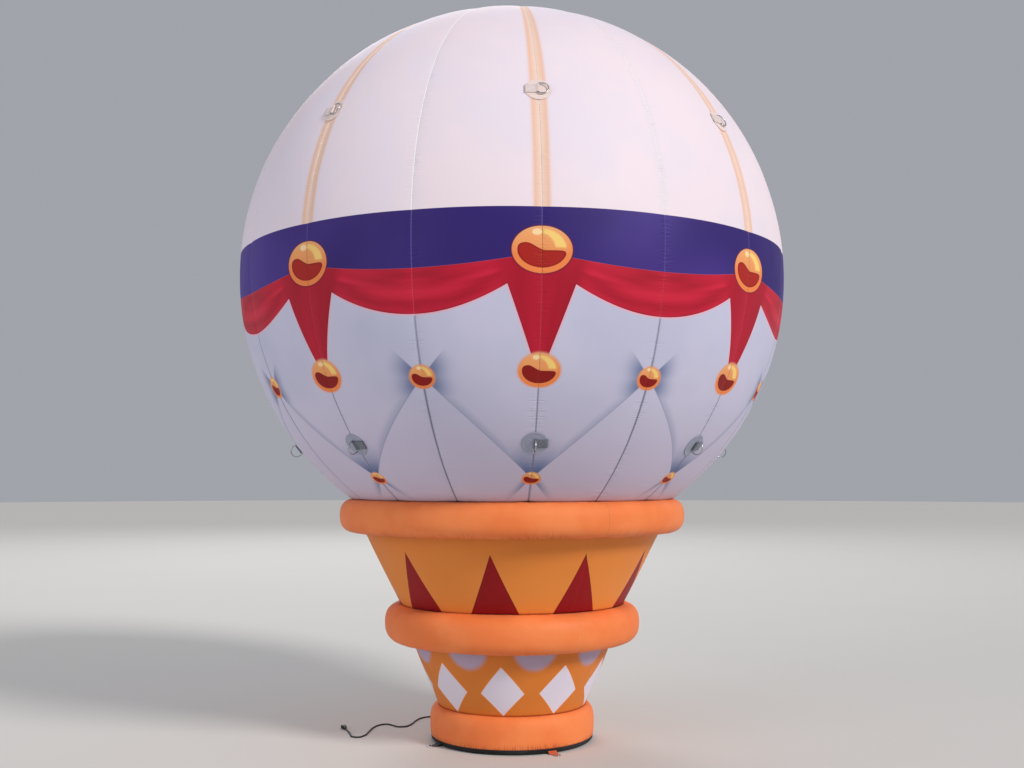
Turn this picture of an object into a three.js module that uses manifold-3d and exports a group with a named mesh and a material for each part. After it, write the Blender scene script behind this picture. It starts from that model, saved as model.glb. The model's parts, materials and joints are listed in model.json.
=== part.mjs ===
// A cold-air advertising inflatable in the shape of a hot-air balloon: a sphere of sixteen sewn gores on a
// pot-shaped pedestal of three puffed rings and two cones, held up by a blower inside its base.
// Millimetres, +Z up, the origin at the centre of the base on the floor.
// Azimuths are in degrees from -Y towards +X, and latitudes in degrees above the sphere's equator.
import * as THREE from "three";
import { mergeVertices } from "three/addons/utils/BufferGeometryUtils.js";
import Module from "manifold-3d";

// Driving dimensions
const TOTAL_HEIGHT = 4000;
const SPHERE_RADIUS = 1494;
const SPHERE_CENTRE_Z = TOTAL_HEIGHT - SPHERE_RADIUS;
const SKIN = 10;
const SEAM_GAP = 0.3;
const GORES = 16;
const FACETS_PER_GORE = 3;
const FRONT_SEAM_AZIMUTH = 5.1;

// Latitude rows of a gore, from the rim seam to the crown patch. Both rows of anchors lie on one of them.
const UPPER_ANCHOR_LATITUDE = 26.8;
const LOWER_ANCHOR_LATITUDE = -38.5;
const RIM_SEAM_LATITUDE = -53.9;
const CROWN_LATITUDE = 82;
const ROWS_BELOW_LOWER_ANCHOR = 2;
const ROWS_BETWEEN_ANCHORS = 6;
const ROWS_ABOVE_UPPER_ANCHOR = 5;

// Pot: each puffed ring is an arc of a tube, given by the tube's centre, its radius and its two seam angles.
const RIM_RING = { centreR: 857, centreZ: 1213, tube: 90, from: 73.8, to: -118.3 };
const MIDDLE_RING = { centreR: 597.5, centreZ: 632, tube: 100, from: 82.8, to: -118.4 };
const RING_ARC_STEPS = 5;
const BASE_SEAM = { r: 400, z: 188 };
const BASE_SHOULDER = { r: 446, z: 105 };
const FLOOR_SEAM = { r: 441, z: 28 };
const FLOOR_FLAT_RADIUS = 416;

// Blower, its air inlet and its lead
const BLOWER_SIZE = { x: 320, y: 280, z: 300 };
const INLET = { azimuth: -140, z: 105, radius: 55, wall: 8, inner: 425, outer: 456, bars: 4, bar: 3 };
const GLAND = { drop: 58, radius: 12, inner: 446.6, outer: 478 };
const CORD_DIAMETER = 8;
const CORD_SIDES = 8;
const CORD_STEPS = 52;

// Guy anchors: a sewn patch, a webbing tab folded round the ring's bar, and a D-ring
const ANCHOR_PAIRS = 8;
const PATCH_RADIUS = 63;
const PATCH_THICKNESS = 3;
const PATCH_LIFT = 0.6;
const TAB = { length: 62, foldEnd: 14, width: 48, thickness: 4 };
const LOOP = { inner: 3.8, outer: 5.8, leaves: 50 };
const D_RING = { wire: 3, halfWidth: 31, corner: 4, leg: 16, arcSteps: 7, sides: 6 };
const BAR_HEIGHT = PATCH_LIFT + PATCH_THICKNESS + LOOP.outer - 0.3;
const UPPER_RING_LIFT = 4;

// Peg tabs at the foot of the base
const PEG_TAB = { firstAzimuth: 28, count: 4, width: 50, bottom: 0.5, top: 3.5, inner: 400, outer: 492 };
const PEG_ROOT = { top: 14, inner: 430, outer: 440, foot: 456 };

const finishes = {
  whiteFabric: { color: 0xeadfe9, roughness: 0.62, metalness: 0 },
  orangeFabric: { color: 0xe8763a, roughness: 0.6, metalness: 0 },
  amberFabric: { color: 0xdd8a36, roughness: 0.6, metalness: 0 },
  blackFabric: { color: 0x17171a, roughness: 0.75, metalness: 0 },
  webbing: { color: 0x5c6068, roughness: 0.8, metalness: 0 },
  whiteWebbing: { color: 0xe4d6d6, roughness: 0.8, metalness: 0 },
  steel: { color: 0xb9bcc2, roughness: 0.3, metalness: 1 },
  blackPlastic: { color: 0x141416, roughness: 0.5, metalness: 0 },
};

const wasm = await Module();
wasm.setup();
const balloon = new THREE.Group();

const radians = (degrees) => THREE.MathUtils.degToRad(degrees);
const degrees = (angle) => THREE.MathUtils.radToDeg(angle);

// A point at a distance from the vertical axis
const around = (azimuth, r, z) =>
  new THREE.Vector3(r * Math.sin(radians(azimuth)), -r * Math.cos(radians(azimuth)), z);

// A point at a distance from the sphere's centre
const onSphere = (azimuth, latitude, radius) =>
  around(azimuth, radius * Math.cos(radians(latitude)), SPHERE_CENTRE_Z + radius * Math.sin(radians(latitude)));

// The frame of a spot on the sphere: x to the east, y up the meridian, z outwards
function sphereFrame(azimuth, latitude) {
  const outward = onSphere(azimuth, latitude, 1).sub(new THREE.Vector3(0, 0, SPHERE_CENTRE_Z));
  const east = around(azimuth + 90, 1, 0);
  const up = new THREE.Vector3().crossVectors(outward, east);
  const frame = new THREE.Matrix4().makeBasis(east, up, outward);
  return frame.setPosition(onSphere(azimuth, latitude, SPHERE_RADIUS));
}

// The frame of a spot on the pot's wall: x to the east, y outwards, z up
function wallFrame(azimuth) {
  return new THREE.Matrix4().makeRotationZ(radians(azimuth) + Math.PI);
}

// The geometry with only its corners, each stored once and the faces turned outwards
function closed(geometry) {
  geometry.deleteAttribute("normal");
  geometry.deleteAttribute("uv");
  const merged = mergeVertices(geometry, 1e-4);
  const corners = merged.attributes.position;
  const index = merged.index.array;
  const [a, b, c] = [new THREE.Vector3(), new THREE.Vector3(), new THREE.Vector3()];
  const faces = [];
  let volume = 0;
  for (let i = 0; i < index.length; i += 3) {
    const [p, q, r] = [index[i], index[i + 1], index[i + 2]];
    if (p === q || q === r || r === p) continue;
    faces.push(p, q, r);
    a.fromBufferAttribute(corners, p);
    b.fromBufferAttribute(corners, q);
    c.fromBufferAttribute(corners, r);
    volume += a.dot(b.cross(c));
  }
  merged.setIndex(volume < 0 ? faces.reverse() : faces);
  return merged;
}

function toManifold(geometry) {
  const tidy = closed(geometry);
  const vertProperties = new Float32Array(tidy.attributes.position.array);
  const triVerts = new Uint32Array(tidy.index.array);
  return new wasm.Manifold(new wasm.Mesh({ numProp: 3, vertProperties, triVerts }));
}

function toGeometry(manifold) {
  const mesh = manifold.getMesh();
  const geometry = new THREE.BufferGeometry();
  geometry.setAttribute("position", new THREE.BufferAttribute(mesh.vertProperties, 3));
  geometry.setIndex(new THREE.BufferAttribute(mesh.triVerts, 1));
  return geometry;
}

const joined = (...parts) => toGeometry(parts.map(toManifold).reduce((sum, part) => sum.add(part)));

function addPiece(name, geometry, finish) {
  const mesh = new THREE.Mesh(closed(geometry), new THREE.MeshStandardMaterial(finishes[finish]));
  mesh.name = name;
  balloon.add(mesh);
}

// A closed solid between two grids of points that have the same rows and columns
function plateBetween(outer, inner) {
  const rows = outer.length;
  const columns = outer[0].length;
  const position = [];
  for (const grid of [outer, inner]) {
    for (const row of grid) row.forEach((p) => position.push(p.x, p.y, p.z));
  }
  const at = (side, row, column) => side * rows * columns + row * columns + column;
  const index = [];
  const quad = (p, q, r, s) => index.push(p, q, r, p, r, s);
  for (let i = 0; i + 1 < rows; i++) {
    for (let j = 0; j + 1 < columns; j++) {
      quad(at(0, i, j), at(0, i, j + 1), at(0, i + 1, j + 1), at(0, i + 1, j));
      quad(at(1, i, j), at(1, i + 1, j), at(1, i + 1, j + 1), at(1, i, j + 1));
    }
    quad(at(0, i, 0), at(0, i + 1, 0), at(1, i + 1, 0), at(1, i, 0));
    const last = columns - 1;
    quad(at(0, i, last), at(1, i, last), at(1, i + 1, last), at(0, i + 1, last));
  }
  for (let j = 0; j + 1 < columns; j++) {
    quad(at(0, 0, j), at(1, 0, j), at(1, 0, j + 1), at(0, 0, j + 1));
    const last = rows - 1;
    quad(at(0, last, j), at(0, last, j + 1), at(1, last, j + 1), at(1, last, j));
  }
  const geometry = new THREE.BufferGeometry();
  geometry.setAttribute("position", new THREE.Float32BufferAttribute(position, 3));
  return geometry.setIndex(index);
}

// Evenly spaced values from a to b, both included
const spread = (a, b, steps) => Array.from({ length: steps + 1 }, (_, i) => a + ((b - a) * i) / steps);

function goreLatitudes() {
  const gap = degrees(SEAM_GAP / SPHERE_RADIUS);
  return [
    ...spread(RIM_SEAM_LATITUDE + gap, LOWER_ANCHOR_LATITUDE, ROWS_BELOW_LOWER_ANCHOR),
    ...spread(LOWER_ANCHOR_LATITUDE, UPPER_ANCHOR_LATITUDE, ROWS_BETWEEN_ANCHORS).slice(1),
    ...spread(UPPER_ANCHOR_LATITUDE, CROWN_LATITUDE - gap, ROWS_ABOVE_UPPER_ANCHOR).slice(1),
  ];
}

// One gore of the sphere, a shell with half a seam's gap along each of its two meridians
function gore(number) {
  const width = 360 / GORES;
  const start = FRONT_SEAM_AZIMUTH + number * width;
  const grid = (radius) =>
    goreLatitudes().map((latitude) => {
      const gap = degrees(SEAM_GAP / 2 / (radius * Math.cos(radians(latitude))));
      return spread(start + gap, start + width - gap, FACETS_PER_GORE).map((azimuth) =>
        onSphere(azimuth, latitude, radius),
      );
    });
  return plateBetween(grid(SPHERE_RADIUS), grid(SPHERE_RADIUS - SKIN));
}

// A body of revolution from a profile of [r, z] points, its facets in line with the gores' seams
function revolve(profile) {
  const points = profile.map(([r, z]) => new THREE.Vector2(r, z));
  const facets = GORES * FACETS_PER_GORE;
  return new THREE.LatheGeometry(points, facets, radians(FRONT_SEAM_AZIMUTH)).rotateX(Math.PI / 2);
}

// A line of [r, z] points moved sideways by a distance, to its right as it is followed
function offsetLine(line, distance) {
  return line.map(([r, z], i) => {
    const [r0, z0] = line[Math.max(i - 1, 0)];
    const [r1, z1] = line[Math.min(i + 1, line.length - 1)];
    const length = Math.hypot(r1 - r0, z1 - z0);
    return [r + ((z1 - z0) / length) * distance, z - ((r1 - r0) / length) * distance];
  });
}

// A wall of revolution whose outer face follows a line of [r, z] points from the top down
function wallOfRevolution(outerLine) {
  const inner = offsetLine(outerLine, SKIN).reverse();
  return revolve([...outerLine, ...inner, outerLine[0]]);
}

function ringPoint(ring, angle) {
  return [ring.centreR + ring.tube * Math.cos(radians(angle)), ring.centreZ + ring.tube * Math.sin(radians(angle))];
}

function puffedRing(ring) {
  const gap = degrees(SEAM_GAP / ring.tube);
  const arc = spread(ring.from - gap, ring.to + gap, RING_ARC_STEPS).map((angle) => ringPoint(ring, angle));
  return wallOfRevolution(arc);
}

// A cone between two seams, shortened by the seam's gap at each end
function coneWall(top, bottom) {
  const length = Math.hypot(bottom[0] - top[0], bottom[1] - top[1]);
  const along = (t) => [top[0] + (bottom[0] - top[0]) * t, top[1] + (bottom[1] - top[1]) * t];
  return wallOfRevolution([along(SEAM_GAP / length), along(1 - SEAM_GAP / length)]);
}

function crownPatch() {
  const arc = (radius) =>
    spread(CROWN_LATITUDE, 90, 1).map((latitude) => [
      radius * Math.cos(radians(latitude)),
      SPHERE_CENTRE_Z + radius * Math.sin(radians(latitude)),
    ]);
  const [rim, top] = arc(SPHERE_RADIUS);
  const [innerRim, innerTop] = arc(SPHERE_RADIUS - SKIN);
  return revolve([[0, top[1]], rim, innerRim, [0, innerTop[1]]]);
}

// The lowest ring: a rounded shoulder, then a nearly straight side down to the floor sheet
function baseRing() {
  const shoulder = new THREE.CubicBezierCurve(
    new THREE.Vector2(BASE_SEAM.r, BASE_SEAM.z - SEAM_GAP),
    new THREE.Vector2(BASE_SHOULDER.r - 14, BASE_SEAM.z - 2),
    new THREE.Vector2(BASE_SHOULDER.r, BASE_SEAM.z - 28),
    new THREE.Vector2(BASE_SHOULDER.r, BASE_SHOULDER.z),
  );
  const line = shoulder.getPoints(4).map((p) => [p.x, p.y]);
  line.push([BASE_SHOULDER.r, (BASE_SHOULDER.z + FLOOR_SEAM.z) / 2], [FLOOR_SEAM.r, FLOOR_SEAM.z + SEAM_GAP]);
  const opening = new THREE.CylinderGeometry(INLET.radius + SEAM_GAP, INLET.radius + SEAM_GAP, 200, 24);
  opening.translate(0, FLOOR_SEAM.r, INLET.z).applyMatrix4(wallFrame(INLET.azimuth));
  return toGeometry(toManifold(wallOfRevolution(line)).subtract(toManifold(opening)));
}

// The black floor sheet with its upturned edge, and the peg tabs sewn under it
function floorSheet() {
  const { r, z } = FLOOR_SEAM;
  const sheet = revolve([
    [0, 0],
    [FLOOR_FLAT_RADIUS, 0],
    [r - 7, 8],
    [r, z],
    [r - SKIN, z],
    [r - SKIN - 6, SKIN + 4],
    [FLOOR_FLAT_RADIUS - 6, SKIN],
    [0, SKIN],
  ]);
  const tabs = Array.from({ length: PEG_TAB.count }, (_, i) =>
    pegTab().applyMatrix4(wallFrame(PEG_TAB.firstAzimuth + (i * 360) / PEG_TAB.count)),
  );
  return joined(sheet, ...tabs);
}

// A flat strap whose root slopes up the sheet's edge, cut across its width
function pegTab() {
  const { bottom, top, inner, outer, width } = PEG_TAB;
  const section = new THREE.Shape();
  section.moveTo(inner, bottom);
  section.lineTo(outer, bottom);
  section.lineTo(outer, top);
  section.lineTo(PEG_ROOT.foot, top);
  section.lineTo(PEG_ROOT.outer, PEG_ROOT.top);
  section.lineTo(PEG_ROOT.inner, PEG_ROOT.top);
  section.lineTo(PEG_ROOT.inner - 10, top);
  section.lineTo(inner, top);
  const strap = new THREE.ExtrudeGeometry(section, { depth: width, bevelEnabled: false });
  const [right, outwards, up] = [new THREE.Vector3(1, 0, 0), new THREE.Vector3(0, 1, 0), new THREE.Vector3(0, 0, 1)];
  return strap.applyMatrix4(new THREE.Matrix4().makeBasis(outwards, up, right)).translate(-width / 2, 0, 0);
}

function blowerBlock() {
  const block = new THREE.BoxGeometry(BLOWER_SIZE.x, BLOWER_SIZE.y, BLOWER_SIZE.z);
  return block.translate(0, 0, SKIN + SEAM_GAP + BLOWER_SIZE.z / 2);
}

// The blower's inlet collar through the base ring, with a grille of bars and the lead's gland below it
function airInlet() {
  const { radius, wall, inner, outer, bars, bar } = INLET;
  const ring = [
    [radius - wall, inner],
    [radius, inner],
    [radius, outer],
    [radius - wall, outer],
    [radius - wall, inner],
  ];
  const collar = new THREE.LatheGeometry(
    ring.map(([r, y]) => new THREE.Vector2(r, y)),
    24,
  );
  const pieces = [collar];
  const pitch = (2 * (radius - wall)) / (bars + 1);
  for (let i = 1; i <= bars; i++) {
    const across = i * pitch - (radius - wall);
    const half = Math.sqrt((radius - wall / 2) ** 2 - across ** 2);
    const grilleBar = new THREE.BoxGeometry(2 * half, 4, bar);
    pieces.push(grilleBar.translate(0, outer - 4, across));
  }
  const gland = new THREE.CylinderGeometry(GLAND.radius, GLAND.radius, GLAND.outer - GLAND.inner, 16);
  const solid = joined(...pieces);
  solid.translate(0, 0, INLET.z);
  gland.translate(0, (GLAND.outer + GLAND.inner) / 2, INLET.z - GLAND.drop);
  return joined(solid, gland).applyMatrix4(wallFrame(INLET.azimuth));
}

// Route of the lead in the horizontal plane from the gland to the plug, and its height above the floor
function cordRoute() {
  const exit = around(INLET.azimuth, GLAND.outer + SEAM_GAP, INLET.z - GLAND.drop);
  const out = around(INLET.azimuth, 1, 0);
  const floor = CORD_DIAMETER / 2 + 0.4;
  const start = [
    exit,
    exit.clone().addScaledVector(out, 22),
    exit.clone().addScaledVector(out, 46).setZ(exit.z - 9),
    exit.clone().addScaledVector(out, 68).setZ(exit.z - 27),
    exit.clone().addScaledVector(out, 92).setZ(floor + 3),
  ];
  // x, y of the stretch on the floor
  const lying = [
    [-400, 474],
    [-448, 505],
    [-500, 500],
    [-540, 455],
    [-562, 385],
    [-578, 300],
    [-604, 240],
    [-648, 232],
    [-684, 272],
    [-722, 300],
    [-762, 272],
    [-786, 205],
    [-798, 110],
    [-808, 20],
    [-836, -30],
    [-872, -20],
    [-892, 40],
    [-912, 108],
    [-936, 165],
  ];
  return [...start, ...lying.map(([x, y]) => new THREE.Vector3(x, y, floor))];
}

function powerCord(route) {
  const section = new THREE.Shape();
  for (let i = 0; i < CORD_SIDES; i++) {
    const angle = ((i + 0.5) / CORD_SIDES) * 2 * Math.PI;
    const [x, y] = [(CORD_DIAMETER / 2) * Math.cos(angle), (CORD_DIAMETER / 2) * Math.sin(angle)];
    if (i === 0) section.moveTo(x, y);
    else section.lineTo(x, y);
  }
  const extrudePath = new THREE.CatmullRomCurve3(route, false, "centripetal");
  return new THREE.ExtrudeGeometry(section, { steps: CORD_STEPS, bevelEnabled: false, extrudePath });
}

// A two-pin plug on the end of the lead: a tapered body and its pins, lying on the floor
function plug(route) {
  const end = route[route.length - 1];
  const heading = end.clone().sub(route[route.length - 2]).normalize();
  const turn = Math.atan2(heading.y, heading.x) - Math.PI / 2;
  const outline = new THREE.Shape();
  // half width, distance along the plug
  const profile = [
    [6, 0],
    [7, 14],
    [14, 26],
    [16, 48],
  ];
  profile.forEach(([half, y], i) => (i === 0 ? outline.moveTo(half, y) : outline.lineTo(half, y)));
  profile
    .slice()
    .reverse()
    .forEach(([half, y]) => outline.lineTo(-half, y));
  const body = new THREE.ExtrudeGeometry(outline, { depth: 20, bevelEnabled: false });
  const pins = [-9.5, 9.5].map((x) => {
    const pin = new THREE.CylinderGeometry(2.4, 2.4, 23, 10);
    return pin.translate(x, 48 + 19 / 2, 10);
  });
  const made = joined(body, ...pins);
  made.rotateZ(turn).translate(end.x + heading.x * SEAM_GAP, end.y + heading.y * SEAM_GAP, 0.4);
  return made;
}

// A round patch that follows the sphere, made as two fans joined at the rim
function sewnPatch() {
  const sectors = 12;
  const heightAt = (r, lift) => Math.sqrt((SPHERE_RADIUS + lift) ** 2 - r ** 2) - SPHERE_RADIUS;
  const top = PATCH_LIFT + PATCH_THICKNESS;
  const profile = [
    [0, heightAt(0, top)],
    [PATCH_RADIUS, heightAt(PATCH_RADIUS, top)],
    [PATCH_RADIUS, heightAt(PATCH_RADIUS, PATCH_LIFT)],
    [0, heightAt(0, PATCH_LIFT)],
  ];
  const points = profile.map(([r, z]) => new THREE.Vector2(r, z));
  return new THREE.LatheGeometry(points, sectors).rotateX(Math.PI / 2);
}

// The webbing tab, cut across its width: a strip that ends in a round loop for the ring's bar, from which its
// upper layer slopes down onto the lower one
function webbingTab() {
  const low = BAR_HEIGHT - LOOP.outer;
  const high = low + TAB.thickness;
  const outline = new THREE.Shape();
  outline.moveTo(TAB.length, low);
  outline.lineTo(0, low);
  outline.absarc(0, BAR_HEIGHT, LOOP.outer, -Math.PI / 2, radians(LOOP.leaves), true);
  outline.lineTo(TAB.foldEnd, high);
  outline.lineTo(TAB.length, high);
  const eye = new THREE.Path();
  eye.absarc(0, BAR_HEIGHT, LOOP.inner, 0, 2 * Math.PI, false);
  outline.holes.push(eye);
  const tab = new THREE.ExtrudeGeometry(outline, { depth: TAB.width, bevelEnabled: false, curveSegments: 10 });
  return tab.rotateX(Math.PI / 2).translate(0, TAB.width / 2, 0);
}

// A round wire bent into a closed flat loop, its corners mitred
function wireLoop(points, radius, sides) {
  const outer = [];
  points.forEach(([x, y], i) => {
    const [x0, y0] = points[(i + points.length - 1) % points.length];
    const [x1, y1] = points[(i + 1) % points.length];
    const before = new THREE.Vector2(x - x0, y - y0).normalize();
    const after = new THREE.Vector2(x1 - x, y1 - y).normalize();
    const mitre = new THREE.Vector2(before.y + after.y, -before.x - after.x).normalize();
    const stretch = 1 / mitre.dot(new THREE.Vector2(before.y, -before.x));
    for (let k = 0; k < sides; k++) {
      const angle = ((k + 0.5) / sides) * 2 * Math.PI;
      const sideways = radius * Math.cos(angle) * stretch;
      outer.push(x + mitre.x * sideways, y + mitre.y * sideways, radius * Math.sin(angle));
    }
  });
  const index = [];
  for (let i = 0; i < points.length; i++) {
    const next = (i + 1) % points.length;
    for (let k = 0; k < sides; k++) {
      const turn = (k + 1) % sides;
      const [p, q] = [i * sides + k, next * sides + k];
      const [r, s] = [next * sides + turn, i * sides + turn];
      index.push(p, q, r, p, r, s);
    }
  }
  const geometry = new THREE.BufferGeometry();
  geometry.setAttribute("position", new THREE.Float32BufferAttribute(outer, 3));
  return geometry.setIndex(index);
}

// A D-ring in its own plane: the bar along x, the bow towards +y
function dRing() {
  const { wire, halfWidth, corner, leg, arcSteps, sides } = D_RING;
  const bow = spread(0, 180, arcSteps).map((angle) => [
    halfWidth * Math.cos(radians(angle)),
    leg + halfWidth * Math.sin(radians(angle)),
  ]);
  const bar = [
    [-halfWidth, corner],
    [-halfWidth + corner, 0],
    [halfWidth - corner, 0],
    [halfWidth, corner],
  ];
  return wireLoop([...bar, ...bow], wire, sides);
}

// Each row of anchors: its latitude, which way the tab lies from the loop, and how far the ring is turned up
// from lying flat on the other side of the loop
const anchorRows = [
  { name: "upper", latitude: UPPER_ANCHOR_LATITUDE, tabTurn: 180, ringRise: UPPER_RING_LIFT, patch: "whiteWebbing" },
  { name: "lower", latitude: LOWER_ANCHOR_LATITUDE, tabTurn: 0, ringRise: 90, patch: "webbing" },
];

function addAnchors() {
  for (const row of anchorRows) {
    for (let i = 0; i < ANCHOR_PAIRS; i++) {
      const place = sphereFrame(FRONT_SEAM_AZIMUTH + (i * 360) / ANCHOR_PAIRS, row.latitude);
      const anchor = joined(sewnPatch(), webbingTab()).rotateZ(radians(row.tabTurn));
      addPiece(`${row.name}_anchor_${i + 1}`, anchor.applyMatrix4(place), row.patch);
      const ring = dRing().rotateZ(-Math.PI / 2).rotateY(-radians(row.ringRise));
      ring.translate(0, 0, BAR_HEIGHT);
      addPiece(`${row.name}_ring_${i + 1}`, ring.applyMatrix4(place), "steel");
    }
  }
}

for (let i = 0; i < GORES; i++) addPiece(`gore_${String(i + 1).padStart(2, "0")}`, gore(i), "whiteFabric");
addPiece("crown_patch", crownPatch(), "whiteFabric");
addPiece("rim_ring", puffedRing(RIM_RING), "orangeFabric");
addPiece("upper_cone", coneWall(ringPoint(RIM_RING, RIM_RING.to), ringPoint(MIDDLE_RING, MIDDLE_RING.from)), "amberFabric");
addPiece("middle_ring", puffedRing(MIDDLE_RING), "orangeFabric");
addPiece("lower_cone", coneWall(ringPoint(MIDDLE_RING, MIDDLE_RING.to), [BASE_SEAM.r, BASE_SEAM.z]), "amberFabric");
addPiece("base_ring", baseRing(), "orangeFabric");
addPiece("floor_sheet", floorSheet(), "blackFabric");
addPiece("blower", blowerBlock(), "blackPlastic");
addPiece("air_inlet", airInlet(), "blackPlastic");
const route = cordRoute();
addPiece("power_cord", powerCord(route), "blackPlastic");
addPiece("plug", plug(route), "blackPlastic");
addAnchors();

export default balloon;
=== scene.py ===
"""The looks of a cold-air advertising inflatable in the shape of a hot-air balloon.

A printed sphere of sixteen gores stands on a pot of three puffed rings and two cones. Steel guy rings hang in
webbing tabs on the sphere, and the blower's lead leaves the base at the back.
Metres, +Z up, the origin at the centre of the base on the floor. Azimuths are in degrees from -Y towards +X, and
latitudes in degrees above the sphere's equator.
"""

import functools
import json
import logging
import math
from collections.abc import Callable, Iterable, Mapping, Sequence
from dataclasses import dataclass, field
from enum import Enum

import bmesh
import bpy
from mathutils import Matrix, Vector, noise

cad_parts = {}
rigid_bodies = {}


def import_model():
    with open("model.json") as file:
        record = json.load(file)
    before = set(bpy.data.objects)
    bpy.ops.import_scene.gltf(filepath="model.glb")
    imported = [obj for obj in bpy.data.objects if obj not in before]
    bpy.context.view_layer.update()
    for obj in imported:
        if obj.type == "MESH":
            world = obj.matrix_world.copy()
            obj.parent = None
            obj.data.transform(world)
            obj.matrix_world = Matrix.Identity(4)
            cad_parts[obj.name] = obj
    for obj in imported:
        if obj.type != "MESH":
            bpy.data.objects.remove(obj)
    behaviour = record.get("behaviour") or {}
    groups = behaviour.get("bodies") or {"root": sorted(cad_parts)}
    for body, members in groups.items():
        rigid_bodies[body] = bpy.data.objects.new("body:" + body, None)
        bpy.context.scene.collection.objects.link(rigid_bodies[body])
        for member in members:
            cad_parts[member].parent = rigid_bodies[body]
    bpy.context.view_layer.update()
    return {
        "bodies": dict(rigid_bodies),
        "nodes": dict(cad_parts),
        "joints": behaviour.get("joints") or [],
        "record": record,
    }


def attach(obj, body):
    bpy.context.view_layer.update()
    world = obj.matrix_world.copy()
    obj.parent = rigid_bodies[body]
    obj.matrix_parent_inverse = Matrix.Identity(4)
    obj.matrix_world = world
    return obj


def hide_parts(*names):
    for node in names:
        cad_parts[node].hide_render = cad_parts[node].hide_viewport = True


LOG = logging.getLogger("balloon")

ENVELOPE = "envelope"
CUT = "cut"
SEWING = "sewing"

Feed = bpy.types.NodeSocket | float | tuple[float, ...]
Spot = tuple[float, float]
Chart = Callable[[float, float, Spot], Spot]


def linear(code: str) -> tuple[float, float, float, float]:
    """Turns an sRGB hex value to linear light.

    Args:
        code: the colour, such as "#F4C8B0".

    Returns:
        Red, green, blue and an alpha of one.
    """
    shares = (int(code[i : i + 2], 16) / 255 for i in (1, 3, 5))
    return (*(s / 12.92 if s <= 0.04045 else ((s + 0.055) / 1.055) ** 2.4 for s in shares), 1.0)


def around(azimuth: float, r: float, z: float) -> Vector:
    """Gives the point at a distance from the vertical axis."""
    turn = math.radians(azimuth)
    return Vector((r * math.sin(turn), -r * math.cos(turn), z))


def fade(distance: float, reach: float) -> float:
    """Gives a share that falls from one as a distance grows past a reach."""
    return math.exp(-abs(distance) / reach)


MATH = ("ShaderNodeMath", "operation")
VECTOR = ("ShaderNodeVectorMath", "operation")


class Node(Enum):
    """A kind of node: its type and, where the type does several things, the setting that picks one of them.

    A range maps a value from one interval to another and stops at its ends. A line goes on past them, and the two
    eases start and end softly. Near is one where its first two values differ by less than the third, and ink mixes two
    colours.
    """

    PLUS = (*MATH, "ADD")
    MINUS = (*MATH, "SUBTRACT")
    TIMES = (*MATH, "MULTIPLY")
    TIMES_PLUS = (*MATH, "MULTIPLY_ADD")
    DIVIDED = (*MATH, "DIVIDE")
    SIZE = (*MATH, "ABSOLUTE")
    SIGN = (*MATH, "SIGN")
    FRACTION = (*MATH, "FRACT")
    WRAP = (*MATH, "WRAP")
    RADIANS = (*MATH, "RADIANS")
    SINE = (*MATH, "SINE")
    COSINE = (*MATH, "COSINE")
    LEAST = (*MATH, "MINIMUM")
    SOFT_LEAST = (*MATH, "SMOOTH_MIN")
    MOST = (*MATH, "MAXIMUM")
    BELOW = (*MATH, "LESS_THAN")
    ABOVE = (*MATH, "GREATER_THAN")
    NEAR = (*MATH, "COMPARE")
    SCALED = (*VECTOR, "SCALE")
    LENGTH = (*VECTOR, "LENGTH")
    VECTOR_MINUS = (*VECTOR, "SUBTRACT")
    VECTOR_DIVIDED = (*VECTOR, "DIVIDE")
    VECTOR_TIMES_PLUS = (*VECTOR, "MULTIPLY_ADD")
    RANGE = ("ShaderNodeMapRange",)
    LINE = ("ShaderNodeMapRange", "clamp", False)
    EASE = ("ShaderNodeMapRange", "interpolation_type", "SMOOTHSTEP")
    EASE_MORE = ("ShaderNodeMapRange", "interpolation_type", "SMOOTHERSTEP")
    MIX = ("ShaderNodeMix", "data_type", "FLOAT")
    INK = ("ShaderNodeMix", "data_type", "RGBA")
    NOISE = ("ShaderNodeTexNoise",)
    RAMP = ("ShaderNodeValToRGB",)
    JOIN = ("ShaderNodeCombineXYZ",)
    SPLIT = ("ShaderNodeSeparateXYZ",)
    CHART = ("ShaderNodeUVMap",)
    PLACE = ("ShaderNodeTexCoord",)
    BUMP = ("ShaderNodeBump",)
    SHADER = ("ShaderNodeBsdfPrincipled",)
    OUTPUT = ("ShaderNodeOutputMaterial",)


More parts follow.
